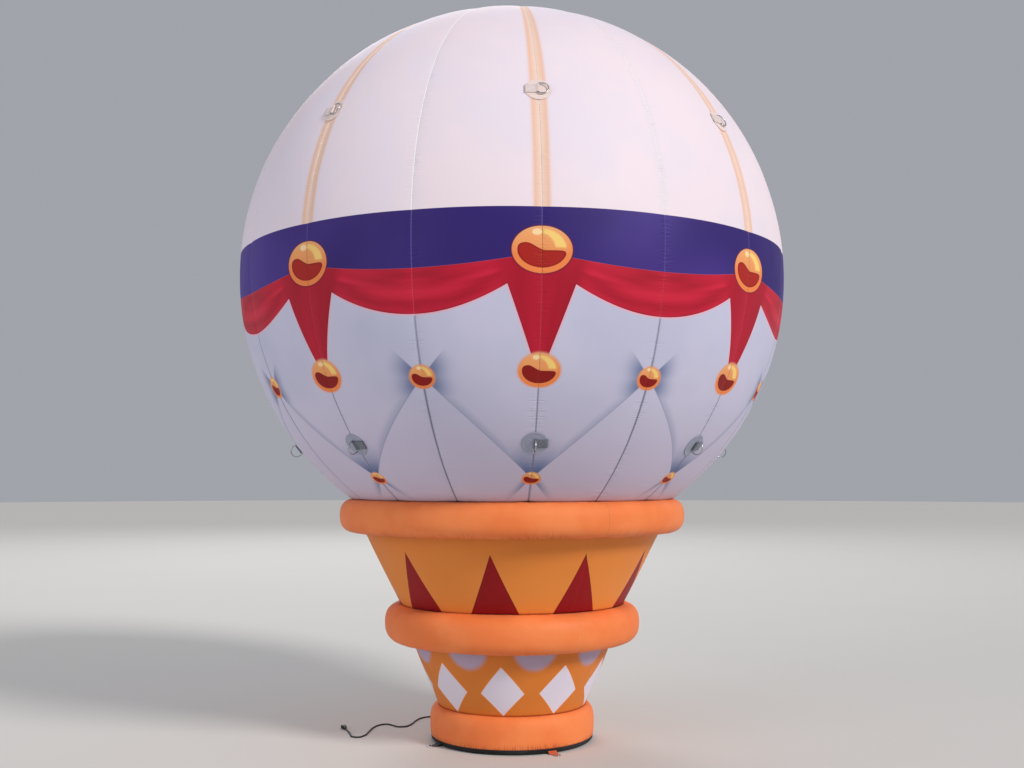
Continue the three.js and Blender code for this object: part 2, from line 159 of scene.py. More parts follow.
class Bench:
    """A material on the bench: its node tree, to which nodes are added one at a time.

    Its spot is the object coordinates, in metres, which every finish reads.
    """

    def __init__(self, name: str) -> None:
        """Starts a material with no more than its spot.

        Args:
            name: what the material is.
        """
        self.material = bpy.data.materials.new(name)
        self.material.use_nodes = True
        self.tree = self.material.node_tree
        self.tree.nodes.clear()
        self.spot = self.add(Node.PLACE, take="Object")

    def add(
        self,
        node: Node,
        *feeds: Feed | Mapping[int | str, Feed],
        take: int | str | tuple[int | str, ...] = 0,
        **settings: object,
    ) -> bpy.types.NodeSocket | tuple[bpy.types.NodeSocket, ...] | None:
        """Adds a node with its settings and links.

        Args:
            node: the kind of node.
            *feeds: what goes into its inputs, links or values: in order, or one mapping by name.
            take: which of its outputs to hand back.
            **settings: the node's own settings, and stops, the places and colours of a ramp.

        Returns:
            The outputs asked for, or None where the node has none.
        """
        kind, *choice = node.value
        made = self.tree.nodes.new(kind)
        if choice:
            setattr(made, *choice)
        for place, (position, code) in enumerate(settings.pop("stops", ())):
            ramp = made.color_ramp.elements
            stop = ramp[place] if place < 2 else ramp.new(position)
            stop.position, stop.color = position, linear(code)
        for name, value in settings.items():
            setattr(made, name, value)
        for key, feed in feeds[0].items() if feeds and isinstance(feeds[0], Mapping) else enumerate(feeds):
            if isinstance(feed, bpy.types.NodeSocket):
                self.tree.links.new(feed, made.inputs[key])
            else:
                made.inputs[key].default_value = feed
        if not made.outputs:
            return None
        return tuple(made.outputs[t] for t in take) if isinstance(take, tuple) else made.outputs[take]

    def over(self, ground: str | Feed, inks: Iterable[tuple[Feed, str | Feed]]) -> Feed:
        """Lays inks over a ground, each through its own mask.

        Args:
            ground: the colour below.
            inks: mask and colour of each ink, the lowest first.

        Returns:
            The colour that shows.
        """
        shown = linear(ground) if isinstance(ground, str) else ground
        for mask, ink in inks:
            colour = linear(ink) if isinstance(ink, str) else ink
            shown = self.add(Node.INK, {0: mask, 6: shown, 7: colour}, take=2)
        return shown

    def chart(self, name: str) -> tuple[Feed, Feed]:
        """Gives a place on one of the piece's charts, in millimetres."""
        spot = self.add(Node.SCALED, {0: self.add(Node.CHART, uv_map=name), "Scale": 1000.0})
        return self.add(Node.SPLIT, spot, take=(0, 1))

    def product(self, *shares: Feed) -> Feed:
        """Multiplies several shares.

        Args:
            *shares: the shares, links or values.

        Returns:
            Their product.
        """
        total = shares[0]
        for share in shares[1:]:
            total = self.add(Node.TIMES, total, share)
        return total

    def oval(self, point: Feed, centre: tuple[float, float], radii: tuple[float, float]) -> Feed:
        """Gives a point's distance from an oval's centre, one being its outline.

        Args:
            point: the point, as a vector.
            centre: the oval's centre.
            radii: its half width and half height.

        Returns:
            The distance in radii.
        """
        off = self.add(Node.VECTOR_MINUS, point, (*centre, 0.0))
        scaled = self.add(Node.VECTOR_DIVIDED, off, (*radii, 1.0))
        return self.add(Node.LENGTH, scaled, take="Value")

    def weave(self, across: Feed, along: Feed, thread: float) -> Feed:
        """Gives the height of a plain weave, where threads pass over and under each other.

        Args:
            across: millimetres across the cloth.
            along: millimetres along it.
            thread: the thread spacing in millimetres.

        Returns:
            The height, from -1 to 1.
        """
        waves = []
        for side in (across, along):
            waves.append(self.add(Node.SINE, self.product(side, math.pi / thread)))
        return self.product(*waves)

    def stitches(self, off: Feed, run: Feed, line: float, pitch: float) -> Feed:
        """Gives the mask of a row of stitches beside a seam.

        Args:
            off: millimetres from the seam.
            run: millimetres along it.
            line: how far from the seam the row lies.
            pitch: the length of a stitch and its gap.

        Returns:
            One on the thread and nought beside it.
        """
        side = self.add(Node.NEAR, off, line, 1.1)
        share = self.add(Node.FRACTION, self.product(run, 1.0 / pitch))
        thread = self.add(Node.BELOW, share, 0.66)
        return self.product(side, thread)

    def finish(self, colour: Feed, roughness: Feed, height: Feed, depth: float, **sockets: float) -> bpy.types.Material:
        """Closes the material with its shader.

        Args:
            colour: the base colour.
            roughness: the roughness.
            height: the height of the surface detail, from 0 to 1.
            depth: what one unit of it stands for, in metres.
            **sockets: the shader's other sockets, their words joined by underscores.

        Returns:
            The finished material.
        """
        bump = self.add(Node.BUMP, {"Height": height, "Distance": depth, "Strength": 1.0})
        shader = {"Base Color": colour, "Roughness": roughness, "Normal": bump}
        shader |= {name.replace("_", " "): value for name, value in sockets.items()}
        surface = self.add(Node.SHADER, shader)
        self.add(Node.OUTPUT, {"Surface": surface})
        return self.material


@dataclass(frozen=True)
class Finish:
    """What a surface is made of. Each kind of finish says how it is dressed."""

    name: str

    def dress(self, bench: Bench) -> bpy.types.Material:
        """Builds the finish on the bench."""
        raise NotImplementedError


@functools.cache
def dressed(finish: Finish) -> bpy.types.Material:
    """Gives the material of a finish, made once."""
    return finish.dress(Bench(finish.name))


@dataclass(frozen=True)
class CoatedOxford(Finish):
    """Polyester oxford cloth with a thin coat: a matt sheen, a fine weave, puckers and stitches at its seams.

    Its real threads are 0.5 mm apart, too fine to show, so they are drawn 4 mm apart. Its lengths are in millimetres.
    A pucker runs from a seam over its reach. A tuck is a short crease over the lower seam, its folds in painted shade.
    """

    thread: float = 4.0
    roughness: float = 0.55
    pucker: float = 1.4
    pitch: float = 9.0
    reach: float = 60.0
    pucker_patch: float = 260.0
    # strength of the painted shade in a seam's groove
    groove_shade: float = 0.25
    yarn: str = "#FFFFFF"
    stitch: float = 9.0
    stitch_rows: tuple[float, float] = (5.0, 10.0)
    tuck: float = 0.0
    tuck_reach: float = 95.0
    tuck_pitch: float = 13.0
    tuck_run: float = 170.0
    tuck_patch: float = 240.0
    # colour of the painted shade in the tucks' folds
    fold: str = "#A8431C"

    def colour(self, bench: Bench, across: Feed, along: Feed) -> Feed:
        """Gives the cloth's colour at a place on its cut, in millimetres."""
        raise NotImplementedError

    def place(self, bench: Bench) -> tuple[Feed, Feed]:
        """Gives the millimetres across and along the cut."""
        return bench.chart(CUT)

    def tucks(self, bench: Bench, across: Feed, along: Feed) -> Feed:
        """Gives the mask of the creases that run up from the lower seam, close together in patches.

        Args:
            bench: the material's bench.
            across: millimetres across the cut.
            along: millimetres up from the lower seam.

        Returns:
            One on a crease and nought beside it.
        """
        pitch, run = bench.product(across, 1 / self.tuck_pitch), bench.product(along, 1 / self.tuck_run)
        spot = bench.add(Node.JOIN, pitch, run, 3.0)
        lines = bench.add(Node.NOISE, {"Vector": spot, "Scale": 1.0, "Detail": 1.0})
        off = bench.add(Node.SIZE, bench.add(Node.MINUS, lines, 0.5))
        crease = bench.add(Node.EASE, off, 0.0, 0.07, 1.0, 0.0)
        spot = bench.add(Node.JOIN, bench.product(across, 1 / self.tuck_patch), 0.0, 9.0)
        patch = bench.add(Node.NOISE, {"Vector": spot, "Scale": 1.0})
        tight = bench.add(Node.EASE, patch, 0.34, 0.55, 0.3, 1.0)
        end = bench.product(tight, self.tuck_reach)
        low = bench.add(Node.EASE, along, 4.0, end, 1.0, 0.0)
        return bench.product(crease, low, tight)

    def dress(self, bench: Bench) -> bpy.types.Material:
        """Lays the colour, the seams' thread and painted shade, the tucks' painted shade, the weave and the puckers.

        Args:
            bench: the material's bench.

        Returns:
            The finished material.
        """
        across, along = self.place(bench)
        off, run = bench.chart(SEWING)
        near = bench.add(Node.EASE_MORE, off, 2.0, self.reach, 1.0, 0.0)
        gather = bench.add(Node.JOIN, bench.product(run, 1 / self.pitch), bench.product(off, 1 / self.reach), 0.0)
        folds = bench.add(Node.NOISE, {"Vector": gather, "Scale": 1.0, "Detail": 1.0})
        centred = bench.add(Node.MINUS, folds, 0.5)
        spot = bench.add(Node.JOIN, bench.product(run, 1 / self.pucker_patch), 0.0, 5.0)
        drawn = bench.add(Node.NOISE, {"Vector": spot, "Scale": 1.0})
        tight = bench.add(Node.EASE, drawn, 0.4, 0.64, 0.25, 1.0)
        thread = bench.add(Node.MOST, *[bench.stitches(off, run, row, self.stitch) for row in self.stitch_rows])
        cloth = self.colour(bench, across, along)
        # painted shade: a dark tint along each seam's groove, fading out 3.4 mm from it
        groove_shade = bench.add(Node.EASE, off, 0.6, 3.4, self.groove_shade, 0.0)
        tucks = self.tucks(bench, across, along) if self.tuck else 0.0
        # painted shade: the groove's tint, and a deeper tone in the tucks' folds
        shaded = bench.over(cloth, [(groove_shade, "#4E3A3C"), (bench.product(tucks, 0.75), self.fold)])
        yarn = {0: bench.product(thread, 0.3), 6: shaded, 7: linear(self.yarn)}
        pale = bench.add(Node.INK, yarn, take=2, blend_type="SOFT_LIGHT")
        weave = bench.product(bench.weave(across, along, self.thread), 0.045)
        waves = bench.product(centred, near, tight, self.pucker * 4.0)
        height = bench.add(Node.PLUS, weave, waves)
        height = bench.add(Node.TIMES_PLUS, thread, -0.35, height)
        height = bench.add(Node.TIMES_PLUS, tucks, -self.tuck, height)
        wear = bench.add(Node.NOISE, {"Vector": bench.spot, "Scale": 3.0, "Detail": 3.0})
        rough = bench.add(Node.RANGE, wear, 0.3, 0.7, self.roughness - 0.07, self.roughness + 0.08)
        return bench.finish(pale, rough, height, 0.001, Specular_IOR_Level=0.22, Sheen_Weight=0.02, Sheen_Roughness=0.5)


@dataclass(frozen=True)
class DyedOxford(CoatedOxford):
    """Oxford cloth printed in one deep tone, with the soft mottle of the ink and of handling."""

    light: str = "#F58A4F"
    deep: str = "#F07F44"

    def colour(self, bench: Bench, across: Feed, along: Feed) -> Feed:
        """Mottles the tone in patches of about 250 mm.

        Args:
            bench: the material's bench.
            across: millimetres across the cut.
            along: millimetres along it.

        Returns:
            The colour.
        """
        mottle = bench.add(Node.NOISE, {"Vector": bench.spot, "Scale": 4.0, "Detail": 3.0, "Roughness": 0.6})
        share = bench.add(Node.EASE, mottle, 0.35, 0.65, 0.0, 1.0)
        return bench.over(self.deep, [(share, self.light)])


@dataclass(frozen=True)
class TrianglePrint(CoatedOxford):
    """The upper cone's print: nine dark red triangles that stand on the middle ring, on amber.

    It draws in degrees round the cone and millimetres below its upper seam. Near the front, the azimuths are drawn
    together by a sine of as many degrees as the pull says, at the apex and at the base.
    """

    radius: float = 0.7125
    pull: tuple[float, float] = (5.5, 1.3)
    pull_from: float = 9.0
    first: float = -8.0
    spacing: float = 40.0
    half_width: float = 127.0
    base: float = 452.0
    apex: float = 103.0
    radii: tuple[float, float] = (814.6, 610.2)

    def colour(self, bench: Bench, across: Feed, along: Feed) -> Feed:
        """Draws the triangles, and painted shade from the rim ring: the amber darkens towards the upper seam.

        Args:
            bench: the material's bench.
            across: millimetres round the cone.
            along: millimetres below its upper seam.

        Returns:
            The colour.
        """
        azimuth = bench.product(across, math.degrees(1) / self.radius / 1000)
        lean = bench.add(Node.SINE, bench.product(bench.add(Node.PLUS, azimuth, self.pull_from), math.radians(1)))
        drawn = bench.add(Node.LINE, along, self.apex, self.base, *self.pull)
        azimuth = bench.add(Node.TIMES_PLUS, lean, drawn, azimuth)
        turned = bench.add(Node.MINUS, azimuth, self.first)
        local = bench.add(Node.WRAP, turned, self.spacing / 2, -self.spacing / 2)
        r = bench.add(Node.LINE, along, 0.0, self.base, *self.radii)
        off = bench.product(bench.add(Node.SIZE, local), r, math.radians(1))
        reach = bench.add(Node.LINE, along, self.apex, self.base, 0.0, self.half_width)
        inside = bench.add(Node.MINUS, reach, off)
        mask = bench.add(Node.RANGE, inside, -0.7, 0.7, 0.0, 1.0)
        edge = bench.add(Node.RANGE, inside, 2.0, 8.0, 0.6, 0.0)
        mottle = bench.add(Node.NOISE, {"Vector": bench.spot, "Scale": 3.0, "Detail": 2.0})
        # painted shade under the rim ring: the amber is darker at the upper seam and lighter towards the foot
        glow = bench.add(Node.RANGE, along, 0.0, 450.0, 0.15, 0.85)
        ground = bench.over("#E08338", [(glow, "#F29846"), (bench.product(mottle, 0.3), "#DC7B32")])
        red = bench.over("#860710", [(mottle, "#A00C16"), (edge, "#66060C")])
        return bench.over(ground, [(mask, red)])


@dataclass(frozen=True)
class DiamondPrint(CoatedOxford):
    """The lower cone's print: nine pale diamonds and, between them, soft half ovals at the upper seam.

    It draws in degrees round the cone and millimetres below its upper seam.
    """

    radius: float = 0.475
    pull: float = 2.6
    first: float = -6.5
    spacing: float = 40.0
    half_width: float = 14.8
    corners: tuple[float, float, float] = (92.0, 249.0, 380.0)
    oval: tuple[float, float] = (13.2, 122.0)

    def colour(self, bench: Bench, across: Feed, along: Feed) -> Feed:
        """Draws the diamonds, each with a pinkish edge in an orange halo, and the half ovals.

        Args:
            bench: the material's bench.
            across: millimetres round the cone.
            along: millimetres below its upper seam.

        Returns:
            The colour.
        """
        azimuth = bench.product(across, math.degrees(1) / self.radius / 1000)
        lean = bench.add(Node.SINE, bench.product(azimuth, math.radians(1)))
        azimuth = bench.add(Node.TIMES_PLUS, lean, self.pull, azimuth)
        offs = []
        for centre in (self.first, self.first + self.spacing / 2):
            turned = bench.add(Node.MINUS, azimuth, centre)
            local = bench.add(Node.WRAP, turned, self.spacing / 2, -self.spacing / 2)
            offs.append(bench.add(Node.SIZE, local))
        top, widest, foot = self.corners
        sides = [bench.add(Node.LINE, along, tip, widest, 0.0, self.half_width) for tip in (top, foot)]
        reach = bench.add(Node.LEAST, *sides)
        inside = bench.add(Node.MINUS, reach, offs[0])
        mask = bench.add(Node.RANGE, inside, -0.08, 0.08, 0.0, 1.0)
        edge = bench.add(Node.RANGE, inside, 0.4, 0.9, 1.0, 0.0)
        halo = bench.add(Node.EASE, inside, -0.9, 0.0, 0.0, 0.55)
        spot = bench.add(Node.JOIN, offs[1], along, 0.0)
        oval = bench.oval(spot, (0.0, 0.0), self.oval)
        soft = bench.add(Node.EASE, oval, 0.76, 1.08, 0.94, 0.0)
        mottle = bench.add(Node.NOISE, {"Vector": bench.spot, "Scale": 4.0, "Detail": 2.0})
        ground = bench.over("#D97C30", [(bench.product(mottle, 0.5), "#E28A3C")])
        cloud = bench.over("#ADA2BE", [(mottle, "#B9AFC9")])
        pale = bench.over("#DDD8EA", [(mottle, "#E6E2F0"), (edge, "#F3D9DC")])
        return bench.over(ground, [(soft, cloud), (halo, "#E59A55"), (mask, pale)])


@dataclass(frozen=True)
class Bearing:
    """Where a spot of the sphere lies between the gem meridians and the mid meridians halfway between them.

    The first four are degrees: east of the nearest gem meridian, off it on either side, off the nearest mid meridian,
    and the latitude. The width is the millimetres that a degree of azimuth spans there, and the two lines are the
    millimetres to the two meridians.
    """

    east: Feed
    off: Feed
    mid_off: Feed
    latitude: Feed
    width: Feed
    gem_line: Feed
    mid_line: Feed


@dataclass(frozen=True)
class CanopyPrint(CoatedOxford):
    """The sphere's print: ribbons on a pinkish white, a violet band, red swags with gems, and a buttoned lower half.

    Its chart holds degrees: the azimuth from the nearest gem meridian and the latitude. The half spacing is that
    between two gem meridians, and degree the millimetres of one degree. The band's border and the swag's edge are
    parabolas, and the pendant's half width grows with the latitude from its foot.
    """

    degree: float = 26.075
    half_spacing: float = 22.5
    band_top: tuple[float, float] = (3.66, 3.74)
    ribbon_shade: float = 44.0
    ribbon_edge: tuple[float, float] = (24.0, 54.0)
    border: tuple[float, float] = (0.00465, -6.3)
    swag_edge: tuple[float, float] = (0.01742, -14.1)
    pendant: tuple[float, float] = (0.3547, 9.2)
    pendant_foot: float = -21.6
    gem_button: float = -47.0
    mid_button: float = -25.2
    below_swags: float = -9.0
    below_mid_buttons: float = -36.0

    def place(self, bench: Bench) -> tuple[Feed, Feed]:
        """Gives the millimetres from the gem meridian and above the equator."""
        east, latitude, width = self.degrees(bench)
        return bench.product(east, width), bench.product(latitude, self.degree)

    def degrees(self, bench: Bench) -> tuple[Feed, Feed, Feed]:
        """Gives the two angles, and the millimetres that a degree of azimuth spans there.

        Args:
            bench: the material's bench.

        Returns:
            The azimuth, the latitude and those millimetres.
        """
        east, latitude = bench.add(Node.SPLIT, bench.add(Node.CHART, uv_map=CUT), take=(0, 1))
        turn = bench.add(Node.RADIANS, latitude)
        return east, latitude, bench.product(bench.add(Node.COSINE, turn), self.degree)

    def colour(self, bench: Bench, across: Feed, along: Feed) -> Feed:
        """Lays the print from the ground up.

        Args:
            bench: the material's bench.
            across: not read, since the print goes by angles.
            along: not read either.

        Returns:
            The colour.
        """
        east, latitude, width = self.degrees(bench)
        off = bench.add(Node.SIZE, east)
        mid_off = bench.add(Node.MINUS, self.half_spacing, off)
        lines = bench.product(off, width), bench.product(mid_off, width)
        at = Bearing(east, off, mid_off, latitude, width, *lines)
        mottle = bench.add(Node.NOISE, {"Vector": bench.spot, "Scale": 1.6, "Detail": 3.0, "Roughness": 0.55})
        cloud = bench.add(Node.EASE, mottle, 0.36, 0.64, 0.0, 1.0)
        top = bench.add(Node.RANGE, latitude, *self.band_top, 0.0, 1.0)
        ground = bench.over(self.buttoned(bench, at, cloud), [(top, self.upper(bench, at, cloud))])
        return self.gems(bench, at, self.swags(bench, at, ground))

    def upper(self, bench: Bench, at: Bearing, cloud: Feed) -> Feed:
        """Draws the pinkish white cloth with a soft-edged ribbon on each gem meridian, narrower towards the crown.

        Args:
            bench: the material's bench.
            at: where the spot lies.
            cloud: the mottle's mask.

        Returns:
            The upper half's colour.
        """
        white = bench.over("#EDE2EF", [(cloud, "#F4E4EC")])
        off = bench.product(at.off, bench.add(Node.MOST, at.width, self.degree * 0.87))
        stops = ((0.0, "#FFE9DC"), (1.0, "#F1CFC6"), (0.08, "#F9D8C6"), (0.40, "#F5CCB6"), (0.72, "#F0BFA2"))
        tone = bench.add(Node.RAMP, bench.product(off, 1 / self.ribbon_shade), stops=stops)
        ribbon = bench.add(Node.EASE, off, *self.ribbon_edge, 0.95, 0.0)
        # painted highlight: a white line along each mid seam, where the seam's ridge catches the light
        seam = bench.add(Node.RANGE, at.mid_line, 2.2, 5.0, 0.75, 0.0)
        return bench.over(white, [(ribbon, tone), (seam, "#FFFFFF")])

    def shadow(self, bench: Bench, inside: Feed, reach: float) -> Feed:
        """Gives a shadow that starts crisply at a crease and dies away inwards.

        Args:
            bench: the material's bench.
            inside: millimetres from the crease.
            reach: where the shadow ends.

        Returns:
            Its strength, nought outside the crease.
        """
        crisp = bench.add(Node.RANGE, inside, -1.5, 1.5, 0.0, 1.0)
        soft = bench.add(Node.EASE, inside, 0.0, reach, 1.0, 0.0)
        return bench.product(crisp, soft)

    def buttoned(self, bench: Bench, at: Bearing, cloud: Feed) -> Feed:
        """Draws the lower half's pale blue cloth, drawn in by two rows of buttons.

        From each button four creases run out to its neighbours. The cloth is darkest in the wedge on the steep side of
        a crease, next to the button.

        Args:
            bench: the material's bench.
            at: where the spot lies.
            cloud: the mottle's mask.

        Returns:
            The lower half's colour.
        """
        wedges = []
        slope = (self.gem_button - self.mid_button) / self.half_spacing
        for centre, side, line in ((self.gem_button, at.off, at.gem_line), (self.mid_button, at.mid_off, at.mid_line)):
            rise = bench.add(Node.MINUS, at.latitude, centre)
            height = bench.add(Node.SIZE, rise)
            gap = bench.add(Node.TIMES_PLUS, side, slope, height)
            reach = bench.add(Node.JOIN, line, bench.product(rise, self.degree), 0.0)
            far = bench.add(Node.LENGTH, reach, take="Value")
            wedges.append((rise, bench.product(gap, self.degree * 0.66), far))
        (rise_low, within_low, far_low), (rise_mid, within_mid, far_mid) = wedges
        beside_low, beside_mid = (bench.product(within, -1.0) for within in (within_low, within_mid))
        above = bench.add(Node.ABOVE, rise_low, 0.0)
        under = bench.add(Node.MINUS, 1.0, above)
        between = bench.product(above, bench.add(Node.BELOW, rise_mid, 0.0))
        layers = (
            # the wedge between two creases, to the left and right of an upper button
            (self.shadow(bench, beside_mid, 150.0), far_mid, 55.0, 205.0, 0.9, above),
            # the notch over a lower button
            (self.shadow(bench, within_low, 230.0), far_low, 50.0, 300.0, 1.0, above),
            # the two short creases under a lower button
            (self.shadow(bench, beside_low, 52.0), far_low, 30.0, 240.0, 0.7, under),
            # the long creases between the two rows
            (self.shadow(bench, within_low, 48.0), far_low, 150.0, 1900.0, 0.46, between),
        )
        shade: Feed = 0.0
        for edge, far, near, end, strength, zone in layers:
            fading = bench.add(Node.EASE, far, near, end, strength, 0.0)
            shade = bench.add(Node.MOST, shade, bench.product(edge, fading, zone))
        run = bench.add(Node.LEAST, far_low, far_mid)
        close = bench.add(Node.RANGE, run, 45.0, 160.0, 1.0, 0.0)
        tone = bench.over("#8390B4", [(close, "#596B98")])
        steep = [bench.add(Node.SIZE, within) for within in (within_low, within_mid)]
        line = bench.add(Node.RANGE, bench.add(Node.LEAST, *steep), 1.0, 4.5, 0.5, 0.0)
        short = bench.add(Node.EASE, run, 90.0, 190.0, 1.0, 0.0)
        crease = bench.product(line, bench.add(Node.MOST, short, between))
        wide = bench.add(Node.RANGE, far_mid, 60.0, 520.0, 9.0, 6.0)
        dark = bench.add(Node.RANGE, rise_mid, 1.5, 4.0, 0.85, 0.6)
        mid_seam = bench.add(Node.RANGE, at.mid_line, 2.2, wide, dark, 0.0)
        tight = bench.add(Node.RANGE, far_low, 90.0, 260.0, 9.0, 5.5)
        gem_seam = bench.add(Node.RANGE, at.gem_line, 1.8, tight, 0.7, 0.0)
        seams = bench.add(Node.MOST, mid_seam, gem_seam)
        low = bench.add(Node.EASE, at.latitude, -16.0, -50.0, 0.0, 0.75)
        ground = bench.over("#C6C7E0", [(cloud, "#D0CEE6"), (low, "#CCC1D7")])
        return bench.over(ground, [(shade, tone), (crease, "#848CA8"), (seams, "#767C96")])

    def swags(self, bench: Bench, at: Bearing, ground: Feed) -> Feed:
        """Draws the violet band and, under it, the red swags and the pendant on each gem meridian.

        Args:
            bench: the material's bench.
            at: where the spot lies.
            ground: the colour below.

        Returns:
            The colour that shows.
        """
        square = bench.product(at.mid_off, at.mid_off)
        border, edge = (bench.add(Node.TIMES_PLUS, square, *line) for line in (self.border, self.swag_edge))
        below = bench.product(bench.add(Node.MINUS, border, at.latitude), self.degree)
        swag = bench.product(bench.add(Node.MINUS, at.latitude, edge), self.degree * 0.9)
        half = bench.add(Node.TIMES_PLUS, at.latitude, *self.pendant)
        side = bench.product(bench.add(Node.MINUS, half, at.off), at.width, 0.94)
        foot = bench.product(bench.add(Node.MINUS, at.latitude, self.pendant_foot), self.degree)
        pendant = bench.add(Node.LEAST, side, foot)
        red = bench.add(Node.MOST, swag, pendant)
        top = bench.add(Node.RANGE, at.latitude, *self.band_top, 1.0, 0.0)
        band = bench.product(bench.add(Node.RANGE, below, 1.0, 2.6, 1.0, 0.0), top)
        under = bench.add(Node.RANGE, below, -0.8, 0.8, 0.0, 1.0)
        piping = bench.product(under, bench.add(Node.RANGE, red, -8.5, -5.5, 0.0, 0.85))
        inside = bench.product(under, bench.add(Node.RANGE, red, -0.8, 0.8, 0.0, 1.0))
        outline = bench.product(inside, bench.add(Node.RANGE, red, 1.0, 7.0, 0.5, 0.0))
        depth = bench.product(bench.add(Node.MINUS, border, edge), self.degree)
        share = bench.add(Node.DIVIDED, below, depth)
        lying = bench.add(Node.JOIN, bench.product(share, 2.9), bench.product(at.mid_off, 0.055), 0.0)
        slant = bench.add(Node.DIVIDED, at.east, half)
        hanging = bench.add(Node.JOIN, bench.product(slant, 1.2), bench.product(at.latitude, 0.04), 7.0)
        streaks = [bench.add(Node.NOISE, {"Vector": folds, "Scale": 1.0, "Detail": 1.0}) for folds in (lying, hanging)]
        calm = bench.add(Node.TIMES_PLUS, streaks[1], 0.26, 0.33)
        broad = bench.add(Node.TIMES_PLUS, streaks[0], 0.62, 0.21)
        pick = bench.add(Node.EASE, side, -60.0, 25.0, 0.0, 1.0)
        streak = bench.add(Node.MIX, {0: pick, 2: broad, 3: calm})
        stops = ((0.30, "#930A23"), (0.68, "#DE2645"), (0.42, "#AC102B"), (0.52, "#C61937"))
        silk = bench.add(Node.RAMP, streak, stops=stops)
        # painted highlight: a paler line along each seam on the silk, where the seam's ridge catches the light
        seam = bench.add(Node.RANGE, bench.add(Node.LEAST, at.gem_line, at.mid_line), 1.4, 3.4, 0.5, 0.0)
        silk = bench.over(silk, [(outline, "#6A0A28"), (seam, "#DC4C60")])
        tone = bench.add(Node.NOISE, {"Vector": bench.spot, "Scale": 1.1, "Detail": 1.0})
        shade = bench.add(Node.EASE, tone, 0.35, 0.65, 0.0, 1.0)
        # the violet band's seams get the same painted highlight
        violet = bench.over("#32206F", [(shade, "#4A358F"), (bench.product(seam, 0.9), "#8678C6")])
        return bench.over(ground, [(band, violet), (piping, "#F2B6C6"), (inside, silk)])

    def gems(self, bench: Bench, at: Bearing, ground: Feed) -> Feed:
        """Draws the oval gems: large on the swags, middling under the pendants, and small ones as buttons.

        Args:
            bench: the material's bench.
            at: where the spot lies.
            ground: the colour below.

        Returns:
            The colour that shows.
        """
        low = bench.add(Node.BELOW, at.latitude, self.below_swags)
        lowest = bench.add(Node.BELOW, at.latitude, self.below_mid_buttons)
        outer = bench.add(Node.ABOVE, at.off, self.half_spacing / 2)
        higher = bench.add(Node.ABOVE, at.latitude, self.below_mid_buttons)
        beside = bench.product(low, outer, higher)
        # a gem's latitude, half width and half height, and what each zone further down adds to them
        sizes = (-3.6, 134.0, 104.0)
        changes = ((-20.6, -39.0, -23.0), (-1.0, -34.0, -24.0), (-22.8, -50.5, -39.0))
        for zone, change in zip((low, beside, lowest), changes):
            sizes = bench.add(Node.VECTOR_TIMES_PLUS, zone, change, sizes)
        centre, half_width, half_height = bench.add(Node.SPLIT, sizes, take=(0, 1, 2))
        sign = bench.add(Node.SIGN, at.east)
        shift = bench.add(Node.TIMES_PLUS, bench.product(beside, sign), -self.half_spacing, at.east)
        x = bench.add(Node.DIVIDED, bench.product(shift, at.width), half_width)
        height = bench.product(bench.add(Node.MINUS, at.latitude, centre), self.degree)
        y = bench.add(Node.DIVIDED, height, half_height)
        point = bench.add(Node.JOIN, x, y, 0.0)
        ring = bench.oval(point, (0.0, 0.0), (1.0, 1.0))
        halo = bench.product(low, bench.add(Node.EASE, ring, 0.98, 1.15, 0.7, 0.0))
        shadow = bench.add(Node.MINUS, 1.0, low)
        shadow = bench.product(shadow, bench.add(Node.RANGE, ring, 1.02, 1.07, 0.8, 0.0))
        gem = bench.add(Node.RANGE, ring, 0.985, 1.015, 1.0, 0.0)
        # centre, radii and edge of the body, of the crescent's outer and inner side, and of the glint
        ovals = (
            ((0.0, 0.10), (0.87, 0.82), (0.94, 1.03, 1.0, 0.0)),
            ((0.0, 0.0), (0.81, 0.87), (0.95, 1.03, 1.0, 0.0)),
            ((-0.1, 0.0), (0.52, 0.68), (0.97, 1.1, 0.0, 1.0)),
            ((-0.17, 0.74), (0.17, 0.14), (0.85, 1.08, 1.0, 0.0)),
        )
        masks = [bench.add(Node.RANGE, bench.oval(point, middle, radii), *edge) for middle, radii, edge in ovals]
        body, outward, inward, glint = masks
        above = bench.add(Node.RANGE, y, 0.05, 0.15, 0.0, 0.92)
        right = bench.add(Node.RANGE, x, -0.02, 0.08, 0.0, 1.0)
        crescent = bench.product(outward, inward, above, right)
        wave = bench.add(Node.EASE, x, -0.55, 0.12, 0.30, -0.03)
        under = bench.add(Node.MINUS, wave, y)
        bowl = bench.oval(point, (0.0, 0.0), (0.82, 0.765))
        within = bench.add(Node.TIMES_PLUS, bowl, -0.78, 0.78)
        hollow = bench.add(Node.SOFT_LEAST, under, within, 0.3)
        bean = bench.add(Node.RANGE, hollow, -0.012, 0.012, 0.0, 1.0)
        deep = bench.add(Node.RANGE, hollow, 0.02, 0.08, 0.6, 0.0)
        seam = bench.product(bench.add(Node.RANGE, at.gem_line, 1.2, 3.0, 0.24, 0.0), gem)
        glow = bench.add(Node.RANGE, y, -0.3, 0.9, 0.0, 1.0)
        orange = bench.over("#F0965A", [(glow, "#F6AC6E")])
        rim = bench.over("#F68A4C", [(bench.add(Node.RANGE, y, -0.2, 0.9, 0.0, 1.0), "#F2AE78")])
        # painted shade: the beans of the gems below the swags are darker, for the shade on the sphere's lower half
        dark = bench.over("#AE221C", [(low, "#8E1412"), (deep, "#7E1210")])
        inks = [(body, orange), (crescent, "#FFD97E"), (glint, "#FFDDA8"), (bean, dark), (seam, "#B0542C")]
        return bench.over(ground, [(shadow, "#5A1038"), (halo, "#E8A07C"), (gem, bench.over(rim, inks))])


